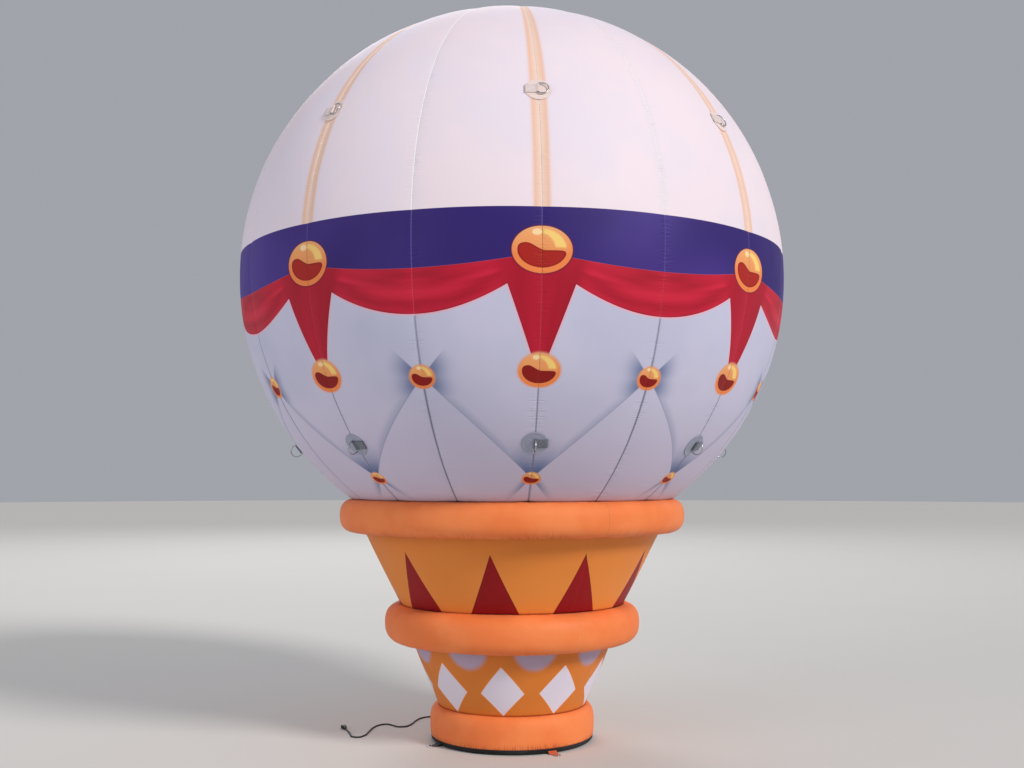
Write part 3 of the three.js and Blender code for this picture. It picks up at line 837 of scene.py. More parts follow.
@dataclass(frozen=True)
class Webbing(Finish):
    """Woven nylon strap: cross ribs, a soft sheen and a little fuzz, and a crossed box of stitches if it is sewn on.

    Its ribs are 1.2 mm apart in truth and drawn 2.4 mm apart, so that they show.
    """

    light: str = "#7C828E"
    deep: str = "#565C68"
    rib: float = 2.4
    thread: str = "#B4B8C0"
    boxed: bool = False
    box_middle: tuple[float, float] = (24.0, 22.0)
    box_half: float = 17.0

    def box(self, bench: Bench, across: Feed, along: Feed) -> Feed:
        """Gives the mask of the box of stitches, whose middle is given in millimetres across and from the end.

        Args:
            bench: the material's bench.
            across: millimetres across the strap.
            along: millimetres from its end.

        Returns:
            One on the thread and nought beside it.
        """
        sides = [bench.add(Node.MINUS, *pair) for pair in zip((across, along), self.box_middle)]
        x, y = (bench.add(Node.SIZE, side) for side in sides)
        reach = bench.add(Node.MOST, x, y)
        outline = bench.add(Node.NEAR, reach, self.box_half, 0.8)
        crossing = bench.add(Node.NEAR, x, y, 1.1)
        crossing = bench.product(crossing, bench.add(Node.BELOW, reach, self.box_half))
        step = bench.product(bench.add(Node.PLUS, x, y), 1 / 4)
        stitch = bench.add(Node.BELOW, bench.add(Node.FRACTION, step), 0.7)
        return bench.product(bench.add(Node.MOST, outline, crossing), stitch)

    def dress(self, bench: Bench) -> bpy.types.Material:
        """Lays the ribs, slightly slanted, the mottle of used strap and the box of stitches.

        Args:
            bench: the material's bench.

        Returns:
            The finished material.
        """
        across, along = bench.chart(CUT)
        slanted = bench.add(Node.TIMES_PLUS, across, 0.35, along)
        ribs = bench.weave(slanted, bench.product(across, 0.7), self.rib)
        share = bench.add(Node.RANGE, ribs, -1.0, 1.0, 0.0, 1.0)
        fuzz = bench.add(Node.NOISE, {"Vector": bench.spot, "Scale": 160.0, "Detail": 3.0})
        height = bench.add(Node.PLUS, share, fuzz)
        inks = [(share, self.light), (bench.product(fuzz, 0.3), self.deep)]
        if self.boxed:
            box = self.box(bench, across, along)
            inks.append((bench.product(box, 0.8), self.thread))
            height = bench.add(Node.TIMES_PLUS, box, 1.4, height)
        tone = bench.over(self.deep, inks)
        rough = bench.add(Node.RANGE, fuzz, 0.3, 0.7, 0.62, 0.82)
        return bench.finish(tone, rough, height, 0.0004, Sheen_Weight=0.25, Specular_IOR_Level=0.3)


@dataclass(frozen=True)
class BrightSteel(Finish):
    """Nickel-plated steel wire, bent and tumbled: bright, with fine drawing lines and small dull patches."""

    tone: str = "#C4C6CA"

    def dress(self, bench: Bench) -> bpy.types.Material:
        """Lays fine scratches and dull patches.

        Args:
            bench: the material's bench.

        Returns:
            The finished material.
        """
        fine = bench.add(Node.NOISE, {"Vector": bench.spot, "Scale": 900.0, "Detail": 2.0})
        dull = bench.add(Node.NOISE, {"Vector": bench.spot, "Scale": 60.0, "Detail": 3.0})
        rough = bench.add(Node.RANGE, dull, 0.35, 0.7, 0.2, 0.42)
        tone = bench.over(self.tone, [(bench.product(dull, 0.4), "#8E9096")])
        return bench.finish(tone, rough, fine, 0.00004, Metallic=1.0)


@dataclass(frozen=True)
class MouldedPlastic(Finish):
    """Injection-moulded ABS with a spark-eroded grain, which gives a dull, even gloss.

    The grain is drawn at 1.2 mm.
    """

    tone: str = "#17181B"
    worn: str = "#2C2D31"
    roughness: float = 0.46

    def dress(self, bench: Bench) -> bpy.types.Material:
        """Lays the grain and the paler rub marks.

        Args:
            bench: the material's bench.

        Returns:
            The finished material.
        """
        grain = bench.add(Node.NOISE, {"Vector": bench.spot, "Scale": 830.0, "Detail": 2.0})
        rubs = bench.add(Node.NOISE, {"Vector": bench.spot, "Scale": 22.0, "Detail": 4.0, "Roughness": 0.65})
        share = bench.add(Node.RANGE, rubs, 0.5, 0.75, 0.0, 0.6)
        tone = bench.over(self.tone, [(share, self.worn)])
        rough = bench.add(Node.RANGE, rubs, 0.3, 0.7, self.roughness - 0.06, self.roughness + 0.12)
        return bench.finish(tone, rough, grain, 0.00008, Specular_IOR_Level=0.45)


@dataclass(frozen=True)
class StudioFloor(Finish):
    """A plain pale floor, painted and matt."""

    tone: str = "#D5D3CF"

    def dress(self, bench: Bench) -> bpy.types.Material:
        """Lays a faint mottle.

        Args:
            bench: the material's bench.

        Returns:
            The finished material.
        """
        cloud = bench.add(Node.NOISE, {"Vector": bench.spot, "Scale": 0.8, "Detail": 5.0})
        tone = bench.over(self.tone, [(bench.product(cloud, 0.25), "#C6C4C0")])
        return bench.finish(tone, 0.85, cloud, 0.0004)


# each finish's groove setting is the strength of the painted shade in its seams' grooves
CANOPY = CanopyPrint("canopy_printed_oxford", groove_shade=0.0, pucker=1.5)
CROWN = DyedOxford("crown_white_oxford", light="#F8E9EE", deep="#F1E6F1", pucker=0.6, groove_shade=0.1)
# the fold colour is the painted shade in the tucks' folds
ORANGE = DyedOxford(
    "orange_printed_oxford", pucker=1.5, pitch=7.0, reach=42.0, groove_shade=0.12, tuck=3.0, tuck_reach=165.0, fold="#8E3212"
)
BASE_ORANGE = DyedOxford(
    "orange_base_oxford", pucker=1.5, pitch=7.0, reach=42.0, groove_shade=0.12, tuck=1.2, tuck_reach=36.0, fold="#C65A2C"
)
TRIANGLES = TrianglePrint("amber_oxford_with_triangles", pucker=0.9, groove_shade=0.45)
DIAMONDS = DiamondPrint("amber_oxford_with_diamonds", pucker=0.9, groove_shade=0.4)
BLACK_SHEET = DyedOxford("black_coated_oxford", light="#2A2A2E", deep="#161618", roughness=0.62)
GREY_PATCH = DyedOxford("grey_patch_oxford", light="#A9ACC0", deep="#989CB0", roughness=0.6, pucker=0.3, groove_shade=0.1)
WHITE_PATCH = DyedOxford("white_patch_oxford", light="#F6E2DC", deep="#EED8D2", roughness=0.6, pucker=0.3, groove_shade=0.1)
GREY_WEBBING = Webbing("grey_nylon_webbing", boxed=True)
WHITE_WEBBING = Webbing("white_nylon_webbing", light="#EFE2DF", deep="#D9C6C2", thread="#FFF8F2", boxed=True)
BLACK_WEBBING = Webbing("black_nylon_webbing", light="#2C2D31", deep="#141417")
ORANGE_WEBBING = Webbing("orange_nylon_webbing", light="#E0683A", deep="#B84A22")
STEEL = BrightSteel("nickel_plated_steel")
ABS = MouldedPlastic("black_abs")
PVC = MouldedPlastic("black_pvc_sheath", tone="#1B1B1D", worn="#333336", roughness=0.52)
FLOOR = StudioFloor("pale_floor_paint")


@dataclass(frozen=True)
class AnchorPlan:
    """How a row of guy anchors is made: its latitude, which way the tab lies and how far the ring is turned up."""

    name: str
    latitude: float
    turn: float
    rise: float
    patch: Finish
    strap: Finish
    slot: str


class Row(Enum):
    """The two rows of guy anchors."""

    UPPER = AnchorPlan("upper", 26.8, 180.0, 4.0, WHITE_PATCH, WHITE_WEBBING, "white_webbing")
    LOWER = AnchorPlan("lower", -38.5, 0.0, 90.0, GREY_PATCH, GREY_WEBBING, "grey_webbing")


def linked(name: str, data: bpy.types.ID) -> bpy.types.Object:
    """Puts a new object with this data in the scene.

    Args:
        name: the object's name.
        data: its mesh, curve, light or camera.

    Returns:
        The new object.
    """
    made = bpy.data.objects.new(name, data)
    bpy.context.scene.collection.objects.link(made)
    return made


def frame_at(origin: Vector, *axes: Vector) -> Matrix:
    """Gives the frame of a place from its x, y and z axes."""
    return Matrix.Translation(origin) @ Matrix(axes).transposed().to_4x4()


def edges_of(verts: Iterable[bmesh.types.BMVert]) -> list[bmesh.types.BMEdge]:
    """Gives the edges at some vertices, each once."""
    return list(dict.fromkeys(edge for vert in verts for edge in vert.link_edges))


def extruded(
    mesh: bmesh.types.BMesh, edges: Sequence[bmesh.types.BMEdge]
) -> tuple[list[bmesh.types.BMVert], list[bmesh.types.BMEdge]]:
    """Extrudes an open ring of edges in place.

    Args:
        mesh: the mesh that the edges are in.
        edges: the ring.

    Returns:
        The vertices and the edges of the new ring.
    """
    made = bmesh.ops.extrude_edge_only(mesh, edges=edges)["geom"]
    verts = [part for part in made if isinstance(part, bmesh.types.BMVert)]
    ends = [part for part in made if isinstance(part, bmesh.types.BMEdge) and all(vert in verts for vert in part.verts)]
    return verts, ends


def rounded(mesh: bmesh.types.BMesh, edges: Sequence[bmesh.types.BMEdge], offset: float, segments: int) -> None:
    """Bevels edges to a round.

    Args:
        mesh: the mesh that the edges are in.
        edges: the edges.
        offset: how far from the edge the round starts.
        segments: faces across it.
    """
    bmesh.ops.bevel(
        mesh,
        geom=edges,
        offset=offset,
        offset_type="OFFSET",
        affect="EDGES",
        segments=segments,
        profile=0.5,
        material=-1,
    )


def closed_up(mesh: bmesh.types.BMesh, frame: Matrix, join: float = 1e-6) -> bmesh.types.BMesh:
    """Closes a solid whose ends meet, and takes it to its place.

    Args:
        mesh: the solid.
        frame: where it goes.
        join: how far apart two vertices that are one may lie.

    Returns:
        The same mesh, its faces outwards.
    """
    bmesh.ops.remove_doubles(mesh, verts=mesh.verts[:], dist=join)
    bmesh.ops.recalc_face_normals(mesh, faces=mesh.faces[:])
    bmesh.ops.transform(mesh, matrix=frame, verts=mesh.verts[:])
    return mesh


def add_piece(
    name: str,
    mesh: bmesh.types.BMesh,
    finishes: Sequence[Finish],
    slot: str,
    *,
    body: str = ENVELOPE,
    replaced: Sequence[str] = (),
    cloth: float = 0.0,
    crease: float = 38.0,
) -> bpy.types.Object:
    """Turns a finished mesh into a piece of the object.

    Args:
        name: the piece's name.
        mesh: its mesh, which is freed.
        finishes: the finishes of its material slots.
        slot: the record's material slot; not used.
        body: the CAD body that it rides on.
        replaced: the CAD nodes that it stands for.
        cloth: the thickness that an open sheet gets, inwards.
        crease: the angle in degrees past which an edge shows sharp.

    Returns:
        The new object.
    """
    data = bpy.data.meshes.new(name)
    mesh.normal_update()
    mesh.to_mesh(data)
    mesh.free()
    data.shade_smooth()
    data.set_sharp_from_angle(angle=math.radians(crease))
    for finish in finishes:
        data.materials.append(dressed(finish))
    piece = linked(name, data)
    if cloth:
        wall = piece.modifiers.new("cloth", "SOLIDIFY")
        wall.thickness, wall.offset = cloth, -1.0
    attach(piece, body)
    if replaced:
        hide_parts(*replaced)
    LOG.info("%s: %d faces, on %s", name, len(data.polygons), body)
    return piece


def cloth_grid(
    columns: int, rows: int, place: Callable[[float, float], Vector], charts: Mapping[str, Chart], closed: bool = False
) -> bmesh.types.BMesh:
    """Lays out cloth flat as a grid, marks its charts, and then bends it to its place.

    Args:
        columns: faces across.
        rows: faces along.
        place: where a spot of the cloth goes, from its shares across and along.
        charts: the name of each UV map, and where on it a spot is, from its shares and those of its face's middle.
        closed: whether its two sides are sewn to each other.

    Returns:
        The bent cloth, its faces outwards.
    """
    mesh = bmesh.new()
    layers = {name: mesh.loops.layers.uv.new(name) for name in charts}
    bmesh.ops.create_grid(mesh, x_segments=columns, y_segments=rows, size=0.5)
    for face in mesh.faces:
        middle = face.calc_center_median()
        for loop in face.loops:
            for name, layer in layers.items():
                spot = (loop.vert.co.x + 0.5, loop.vert.co.y + 0.5)
                loop[layer].uv = charts[name](*spot, (middle.x + 0.5, middle.y + 0.5))
    for vert in mesh.verts:
        vert.co = place(vert.co.x + 0.5, vert.co.y + 0.5)
    if closed:
        bmesh.ops.remove_doubles(mesh, verts=mesh.verts[:], dist=1e-6)
    return mesh


def spun(profile: Sequence[tuple[float, float]], steps: int, frame: Matrix) -> bmesh.types.BMesh:
    """Spins a profile once round its axis into a closed solid.

    Args:
        profile: its corners, as distance from the axis and place along it.
        steps: faces round.
        frame: where it goes; the axis is the frame's z.

    Returns:
        The solid, its faces outwards.
    """
    mesh = bmesh.new()
    verts = [mesh.verts.new((r, 0.0, z)) for r, z in profile]
    edges = [mesh.edges.new(pair) for pair in zip(verts, verts[1:])]
    if profile[0][0] > 1e-6:
        edges.append(mesh.edges.new((verts[-1], verts[0])))
    bmesh.ops.spin(
        mesh, geom=verts + edges, cent=(0, 0, 0), axis=(0, 0, 1), angle=math.tau, steps=steps, use_merge=True
    )
    return closed_up(mesh, frame)


class Wire:
    """A round wire that is bent one stretch at a time."""

    def __init__(self, start: Vector, heading: Vector, radius: float, sides: int = 12) -> None:
        """Cuts the wire's first section.

        Args:
            start: where it starts.
            heading: which way it goes.
            radius: the wire's radius.
            sides: faces round it.
        """
        self.mesh = bmesh.new()
        place = Matrix.Translation(start) @ heading.to_track_quat("Z", "Y").to_matrix().to_4x4()
        made = bmesh.ops.create_circle(self.mesh, segments=sides, radius=radius, cap_ends=False, matrix=place)
        self.end = edges_of(made["verts"])

    def run(self, move: Vector) -> None:
        """Goes straight on by a distance."""
        verts, self.end = extruded(self.mesh, self.end)
        bmesh.ops.translate(self.mesh, vec=move, verts=verts)

    def turn(self, centre: Vector, axis: Vector, degrees: float, steps: int) -> None:
        """Goes round a centre by an angle.

        Args:
            centre: the middle of the bend.
            axis: what it turns about.
            degrees: the angle.
            steps: faces along it.
        """
        made = bmesh.ops.spin(
            self.mesh, geom=self.end, cent=centre, axis=axis, angle=math.radians(degrees), steps=steps, use_merge=False
        )
        self.end = [part for part in made["geom_last"] if isinstance(part, bmesh.types.BMEdge)]


def folded_strap(
    lower: Sequence[Spot],
    upper: Sequence[Spot],
    bar: float,
    reach: float,
    width: Callable[[float], float],
    frame: Matrix,
) -> bmesh.types.BMesh:
    """Folds a strap round a bar that lies across it: towards the bar, round it, and back on itself.

    Args:
        lower: distance from the bar and height of the lower layer's inner face, from its end to the bar.
        upper: the same for the upper layer, from the bar to its end.
        bar: the height of the bar's middle.
        reach: the radius of the fold's inner face.
        width: the strap's width at a distance from the bar.
        frame: where it goes; x runs away from the bar, y along it and z upwards.

    Returns:
        The strap's inner face, charted from the upper layer's end.
    """
    angles = [math.radians(-90 - 220 * step / 12) for step in range(13)]
    fold = [Vector((reach * math.cos(angle), bar + reach * math.sin(angle))) for angle in angles]
    path = [*map(Vector, lower), *fold, *map(Vector, upper)]
    lengths = [0.0]
    for a, b in zip(path[::-1], path[-2::-1]):
        lengths.append(lengths[-1] + (b - a).length)
    lengths.reverse()
    rows = len(path) - 1

    def place(s: float, t: float) -> Vector:
        """Gives where a spot of the strap goes."""
        here = path[round(t * rows)]
        return frame @ Vector((here.x, (s - 0.5) * width(here.x), here.y))

    def cut(s: float, t: float, _: Spot) -> Spot:
        """Gives where the spot lies on the flat strap."""
        spot = round(t * rows)
        return width(0.0) / 2 + (s - 0.5) * width(path[spot].x), lengths[spot]

    return cloth_grid(10, rows, place, {CUT: cut})


@dataclass(frozen=True)
class DeeRing:
    """A round wire bent to a D: a straight bar with rounded corners, two short legs and a half-round bow."""

    half_width: float
    leg: float
    corner: float
    wire: float

    def bend(self, frame: Matrix) -> bmesh.types.BMesh:
        """Bends the ring, its bar along the frame's x and its bow towards y.

        Args:
            frame: where it goes.

        Returns:
            The ring, its faces outwards.
        """
        half, corner, axis = self.half_width, self.corner, Vector((0, 0, 1))
        wire = Wire(Vector((corner - half, 0, 0)), Vector((1, 0, 0)), self.wire)
        wire.run(Vector((2 * (half - corner), 0, 0)))
        wire.turn(Vector((half - corner, corner, 0)), axis, 90, 5)
        wire.run(Vector((0, self.leg - corner, 0)))
        wire.turn(Vector((0, self.leg, 0)), axis, 180, 24)
        wire.run(Vector((0, corner - self.leg, 0)))
        wire.turn(Vector((corner - half, corner, 0)), axis, 90, 5)
        return closed_up(wire.mesh, frame, 2e-5)


@dataclass
class Studio:
    """The camera, the light and the floor."""

    distance: float = 6.456
    height: float = 1.4314
    pitch: float = 4.5
    lens: float = 40.55
    sensor: float = 36.0
    aim_height: float = 2.2
    panel: float = 9.0
    floor_radius: float = 60.0

    def camera(self) -> None:
        """Sets the camera as the photograph's."""
        data = bpy.data.cameras.new("camera")
        data.lens, data.sensor_width = self.lens, self.sensor
        data.clip_end = 200.0
        camera = linked("camera", data)
        camera.location = (0.0, -self.distance, self.height)
        camera.rotation_euler = (math.radians(90 + self.pitch), 0.0, 0.0)
        bpy.context.scene.camera = camera

    def light(self) -> None:
        """Sets a large soft key at the upper right, a fill at the left, one behind, and an even pale room."""
        key = bpy.data.lights.new("key", "SUN")
        key.energy, key.angle, key.color = 2.1, math.radians(14), (1.0, 0.97, 0.93)
        self.aim(key, Vector((5.2, -4.4, 6.4)))
        for name, place, power in (("fill", (-16.0, -12.0, 8.0), 720.0), ("back", (-3.0, 18.0, 15.0), 1200.0)):
            panel = bpy.data.lights.new(name, "AREA")
            panel.size, panel.energy = self.panel, power
            self.aim(panel, Vector(place))
        world = bpy.data.worlds.new("studio")
        world.use_nodes = True
        sky = world.node_tree.nodes["Background"].inputs
        sky["Color"].default_value = linear("#DCDFE8")
        sky["Strength"].default_value = 0.50
        bpy.context.scene.world = world
        bpy.context.scene.view_settings.view_transform = "Standard"

    def aim(self, light: bpy.types.Light, place: Vector) -> None:
        """Hangs a light at a place and aims it at the sphere.

        Args:
            light: the light.
            place: where it hangs.
        """
        lamp = linked(light.name, light)
        lamp.location = place
        lamp.rotation_euler = (Vector((0, 0, self.aim_height)) - place).to_track_quat("-Z", "Y").to_euler()

    def floor(self) -> None:
        """Lays the floor."""
        mesh = bmesh.new()
        bmesh.ops.create_circle(mesh, cap_ends=True, segments=96, radius=self.floor_radius)
        data = bpy.data.meshes.new("floor")
        mesh.to_mesh(data)
        mesh.free()
        data.materials.append(dressed(FLOOR))
        linked("floor", data)


@dataclass
class PowerLead:
    """The blower's mains lead: its strain relief in the base, the lead on the floor, and its two-pin plug."""

    azimuth: float = -140.0
    exit_radius: float = 0.4783
    exit_height: float = 0.047
    diameter: float = 0.008
    length: float = 1.304
    resting: float = 0.0044
    falling: tuple[Spot, ...] = ((0.0, 0.047), (0.022, 0.047), (0.046, 0.038), (0.068, 0.020), (0.092, 0.0074))
    relief: tuple[Spot, ...] = (
        (0.0, 0.0), (0.012, 0.0), (0.012, 0.003), (0.0085, 0.005), (0.0082, 0.009), (0.0068, 0.010), (0.0078, 0.0115),
        (0.0074, 0.0155), (0.0060, 0.0165), (0.0069, 0.018), (0.0064, 0.022), (0.0053, 0.023), (0.0060, 0.0245),
        (0.0056, 0.0285), (0.0048, 0.0316), (0.0, 0.0316),
    )
    lying: tuple[Spot, ...] = (
        (-0.400, 0.474), (-0.448, 0.505), (-0.500, 0.500), (-0.540, 0.455), (-0.562, 0.385), (-0.578, 0.300),
        (-0.604, 0.240), (-0.648, 0.232), (-0.684, 0.272), (-0.722, 0.300), (-0.762, 0.272), (-0.786, 0.205),
        (-0.798, 0.110), (-0.808, 0.020), (-0.836, -0.030), (-0.872, -0.020), (-0.892, 0.040), (-0.912, 0.108),
        (-0.936, 0.165),
    )
    pins: tuple[tuple[float, float, float], ...] = ((-0.0095, 0.0575, 0.0104), (0.0095, 0.0575, 0.0104))

    @property
    def exit(self) -> Vector:
        """The point where the lead leaves its strain relief."""
        return around(self.azimuth, self.exit_radius, self.exit_height)

    def route(self) -> list[Vector]:
        """Gives the points that the lead passes: out, down to the floor, and along it."""
        falling = [around(self.azimuth, self.exit_radius + far, height) for far, height in self.falling]
        return falling + [Vector((x, y, self.resting)) for x, y in self.lying]

    def build(self) -> None:
        inward = Matrix.Translation(around(self.azimuth, self.exit_radius - self.relief[-1][1], self.exit_height))
        turned = inward @ around(self.azimuth, 1.0, 0.0).to_track_quat("Z", "Y").to_matrix().to_4x4()
        add_piece("lead_relief", spun(self.relief, 24, turned), [PVC], "black_plastic")
        plug = self.plug()
        route = self.route()
        data = bpy.data.curves.new("blower_lead", "CURVE")
        data.dimensions, data.resolution_u = "3D", 8
        data.bevel_depth, data.bevel_resolution = self.diameter / 2, 3
        data.use_fill_caps = True
        data.materials.append(dressed(PVC))
        spline = data.splines.new("BEZIER")
        spline.bezier_points.add(len(route) - 1)
        ends = [route[0] * 2 - route[1], *route, route[-1] * 2 - route[-2]]
        for knot, before, here, after in zip(spline.bezier_points, ends, ends[1:], ends[2:]):
            knot.co = here
            knot.handle_left_type = knot.handle_right_type = "FREE"
            back, ahead = math.sqrt((here - before).length), math.sqrt((after - here).length)
            slope = (here - before) / back - (after - before) / (back + ahead) + (after - here) / ahead
            knot.handle_left = here - slope * back / 3
            knot.handle_right = here + slope * ahead / 3
        lead = linked("blower_lead", data)
        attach(lead, ENVELOPE)
        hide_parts("power_cord")
        tuple(self.exit)
        LOG.info("blower_lead: %d points", len(route))

    def plug(self) -> bpy.types.Object:
        """Makes the plug: a ribbed neck that widens to a flat body, and two round pins.

        Returns:
            The plug.
        """
        end, before = self.route()[-1], self.route()[-2]
        heading = (end - before).normalized()
        place = Matrix.Translation(Vector((end.x, end.y, 0.0)) + heading * 0.0003)
        place = place @ Matrix.Rotation(math.atan2(heading.y, heading.x) - math.pi / 2, 4, "Z")
        mesh = bmesh.new()
        # half width, half height, distance along the plug
        sections = (
            (5.0, 5.0, 0.0), (5.9, 5.9, 1.0), (5.9, 5.9, 3.6), (5.1, 5.1, 4.4), (6.2, 6.2, 5.4), (6.2, 6.2, 8.0),
            (5.4, 5.4, 8.8), (6.6, 6.6, 9.8), (6.8, 6.8, 13.0), (9.6, 8.0, 19.0), (13.2, 9.2, 25.0), (14.2, 9.6, 28.0),
            (15.0, 9.8, 34.0), (15.8, 10.0, 42.0), (15.9, 10.0, 46.8), (15.2, 9.3, 48.0),
        )
        turn = mesh.verts.layers.float.new("turn")
        ring = bmesh.ops.create_circle(mesh, segments=32, radius=1.0, cap_ends=False)["verts"]
        for vert in ring:
            vert[turn] = math.atan2(vert.co.y, vert.co.x)
        edges = edges_of(ring)
        bmesh.ops.contextual_create(mesh, geom=edges)
        for number, (half, tall, far) in enumerate(sections):
            if number:
                ring, edges = extruded(mesh, edges)
            # from a round neck to a body that is nearly a rounded oblong
            power = 2 / (2 + 1.6 * min(max(half - 7.0, 0.0) / 8.0, 1.0))
            for vert in ring:
                c, s = math.cos(vert[turn]), math.sin(vert[turn])
                x = math.copysign(abs(c) ** power, c) * half
                z = math.copysign(abs(s) ** power, s) * tall
                vert.co = Vector((x, far, z + 0.4 + tall)) / 1000
        bmesh.ops.contextual_create(mesh, geom=edges)
        for middle in self.pins:
            self.pin(mesh, Vector(middle))
        return add_piece("mains_plug", closed_up(mesh, place), [ABS, STEEL], "black_plastic", replaced=["plug"])

    def pin(self, mesh: bmesh.types.BMesh, middle: Vector) -> None:
        """Adds a steel pin with a rounded tip.

        Args:
            mesh: the plug's mesh.
            middle: the pin's middle, before the plug is in its place.
        """
        place = Matrix.Translation(middle) @ Matrix.Rotation(-math.pi / 2, 4, "X")
        made = bmesh.ops.create_cone(
            mesh, cap_ends=True, segments=20, radius1=0.0024, radius2=0.0024, depth=0.021, matrix=place
        )
        verts = made["verts"]
        for face in {face for vert in verts for face in vert.link_faces}:
            face.material_index = 1
        tip = [edge for edge in edges_of(verts) if all(vert.co.y > middle.y + 0.009 for vert in edge.verts)]
        rounded(mesh, tip, 0.0012, 3)


@dataclass
class Sphere:
    """The printed sphere: sixteen gores sewn along meridians, and the round patch on its crown."""

    radius: float = 1.494
    centre: float = 2.506
    count: int = 16
    first: float = 5.1
    rim: float = -53.9
    crown: float = 82.0
    gap: float = 0.00015
    rim_gap: float = 0.0003
    cloth: float = 0.0012
    columns: int = 24
    rows: int = 208
    crowding: float = 0.135
    lap: float = 0.012
    puff: float = 0.0045
    pull: float = 0.0022
    pucker: float = 0.0016
    sway: float = 0.0016
    rim_pleat: float = 0.0028
    crown_pleat: float = 0.0012
    calm: float = 0.09

    @property
    def width(self) -> float:
        """A gore's width in degrees."""
        return 360 / self.count

    def at(self, azimuth: float, latitude: float, lift: float = 0.0) -> Vector:
        """Gives the point on the sphere, or lifted off it."""
        turn, r = math.radians(latitude), self.radius + lift
        return around(azimuth, r * math.cos(turn), self.centre + r * math.sin(turn))

    def frame(self, azimuth: float, latitude: float) -> Matrix:
        """Gives the frame of a spot: x to the east, y up the meridian, z outwards.

        Args:
            azimuth: where the spot is.
            latitude: how far it is above the equator.

        Returns:
            The frame.
        """
        spot = self.at(azimuth, latitude)
        outward = (spot - Vector((0, 0, self.centre))).normalized()
        east = around(azimuth + 90, 1.0, 0.0)
        return frame_at(spot, east, outward.cross(east), outward)

    def relief(self, azimuth: float, latitude: float) -> float:
        """Gives how far the cloth stands off the true sphere.

        It is full between seams, pulled in and puckered at them, pleated at its two ends, and calm round the anchors,
        whose patches lie on the true sphere.

        Args:
            azimuth: where the spot is.
            latitude: how far it is above the equator.

        Returns:
            The metres outwards.
        """
        turn = math.radians(latitude)
        ring, up = self.radius * math.cos(turn), self.radius * turn
        panels = (azimuth - self.first) / self.width
        share = panels % 1
        off = min(share, 1 - share) * math.radians(self.width) * ring
        puff = self.puff * math.sin(math.pi * share) * math.cos(turn) - self.pull * fade(off, 0.018)
        ripple = noise.noise(Vector((up / 0.04, round(panels) % self.count * 7.3, 0.5)))
        pucker = self.pucker * fade(off, 0.035) * ripple
        sway = self.sway * noise.noise(self.at(azimuth, latitude) * 2.6)
        below, above = (math.radians(part) * self.radius for part in (latitude - self.rim, self.crown - latitude))
        pleats = self.rim_pleat * fade(below, 0.05) * (1 - fade(below, 0.008)) + self.crown_pleat * fade(above, 0.03)
        pleats *= noise.noise(around(azimuth, ring / 0.035, 0.0))
        calm = 1.0
        side = (azimuth - self.first + self.width) % (2 * self.width) - self.width
        for row in Row:
            rise = latitude - row.value.latitude
            distance = Vector((math.radians(side) * ring, math.radians(rise) * self.radius)).length
            calm *= 1 - math.exp(-((distance / self.calm) ** 2))
        return (puff + pucker + sway + pleats) * calm

    def gore(self, number: int) -> bmesh.types.BMesh:
        """Cuts one gore, its columns closer together near its seams.

        Args:
            number: which gore, from nought.

        Returns:
            The bent cloth.
        """
        start = self.first + number * self.width
        low, high = self.rim + math.degrees(self.rim_gap / self.radius), self.crown

        def spot(s: float, t: float) -> Spot:
            """Gives a spot's azimuth and latitude.

            Args:
                s: the share of the way across.
                t: the share of the way up.

            Returns:
                The two angles.
            """
            latitude = low + (high - low) * t
            side = s - self.crowding * math.sin(math.tau * s)
            edge = math.degrees(self.gap / (self.radius * math.cos(math.radians(latitude))))
            return start + edge + (self.width - 2 * edge) * side, latitude

        def place(s: float, t: float) -> Vector:
            """Gives where the spot goes."""
            azimuth, latitude = spot(s, t)
            return self.at(azimuth, latitude, self.relief(azimuth, latitude))

        def cut(s: float, t: float, _: Spot) -> Spot:
            """Gives the spot's azimuth from the gore's gem meridian, and its latitude."""
            azimuth, latitude = spot(s, t)
            return azimuth - start - (self.width if number % 2 else 0.0), latitude

        def sewing(s: float, t: float, _: Spot) -> Spot:
            """Gives the metres from the nearer seam and along it.

            Args:
                s: the share of the way across.
                t: the share of the way up.
                _: not read.

            Returns:
                The two distances.
            """
            azimuth, latitude = spot(s, t)
            share = (azimuth - start) / self.width
            ring = math.radians(self.width) * self.radius * math.cos(math.radians(latitude))
            return min(share, 1 - share) * ring, math.radians(latitude) * self.radius

        return cloth_grid(self.columns, self.rows, place, {CUT: cut, SEWING: sewing})

    def build(self) -> None:
        """Sews the gores and the crown patch."""
        for number in range(self.count):
            label = f"{number + 1:02d}"
            piece = add_piece(
                f"gore_cloth_{label}",
                self.gore(number),
                [CANOPY],
                "printed_fabric",
                replaced=[f"gore_{label}"],
                cloth=self.cloth,
                crease=80.0,
            )
        self.crown_patch()

    def crown_patch(self) -> None:
        """Laps a hemmed round patch over the gores' upper ends."""
        reach = math.radians(90 - self.crown) * self.radius + self.lap

        def place(s: float, t: float) -> Vector:
            """Gives where a spot of the patch goes."""
            latitude = 90 - math.degrees(reach / self.radius) * (1 - t)
            return self.at(self.first + 360 * s, min(latitude, 90.0), 0.0022 - 0.0012 * fade(1 - t, 0.5))

        def cut(s: float, t: float, _: Spot) -> Spot:
            """Gives where the spot lies on the flat patch."""
            turn = math.tau * s
            return (1 - t) * reach * math.cos(turn), (1 - t) * reach * math.sin(turn)

        def sewing(s: float, t: float, _: Spot) -> Spot:
            """Gives the metres in from the hem and round it."""
            return t * reach, math.tau * s * reach

        mesh = cloth_grid(96, 16, place, {CUT: cut, SEWING: sewing}, closed=True)
        piece = add_piece("crown_disc", mesh, [CROWN], "printed_fabric", replaced=["crown_patch"], cloth=self.cloth)


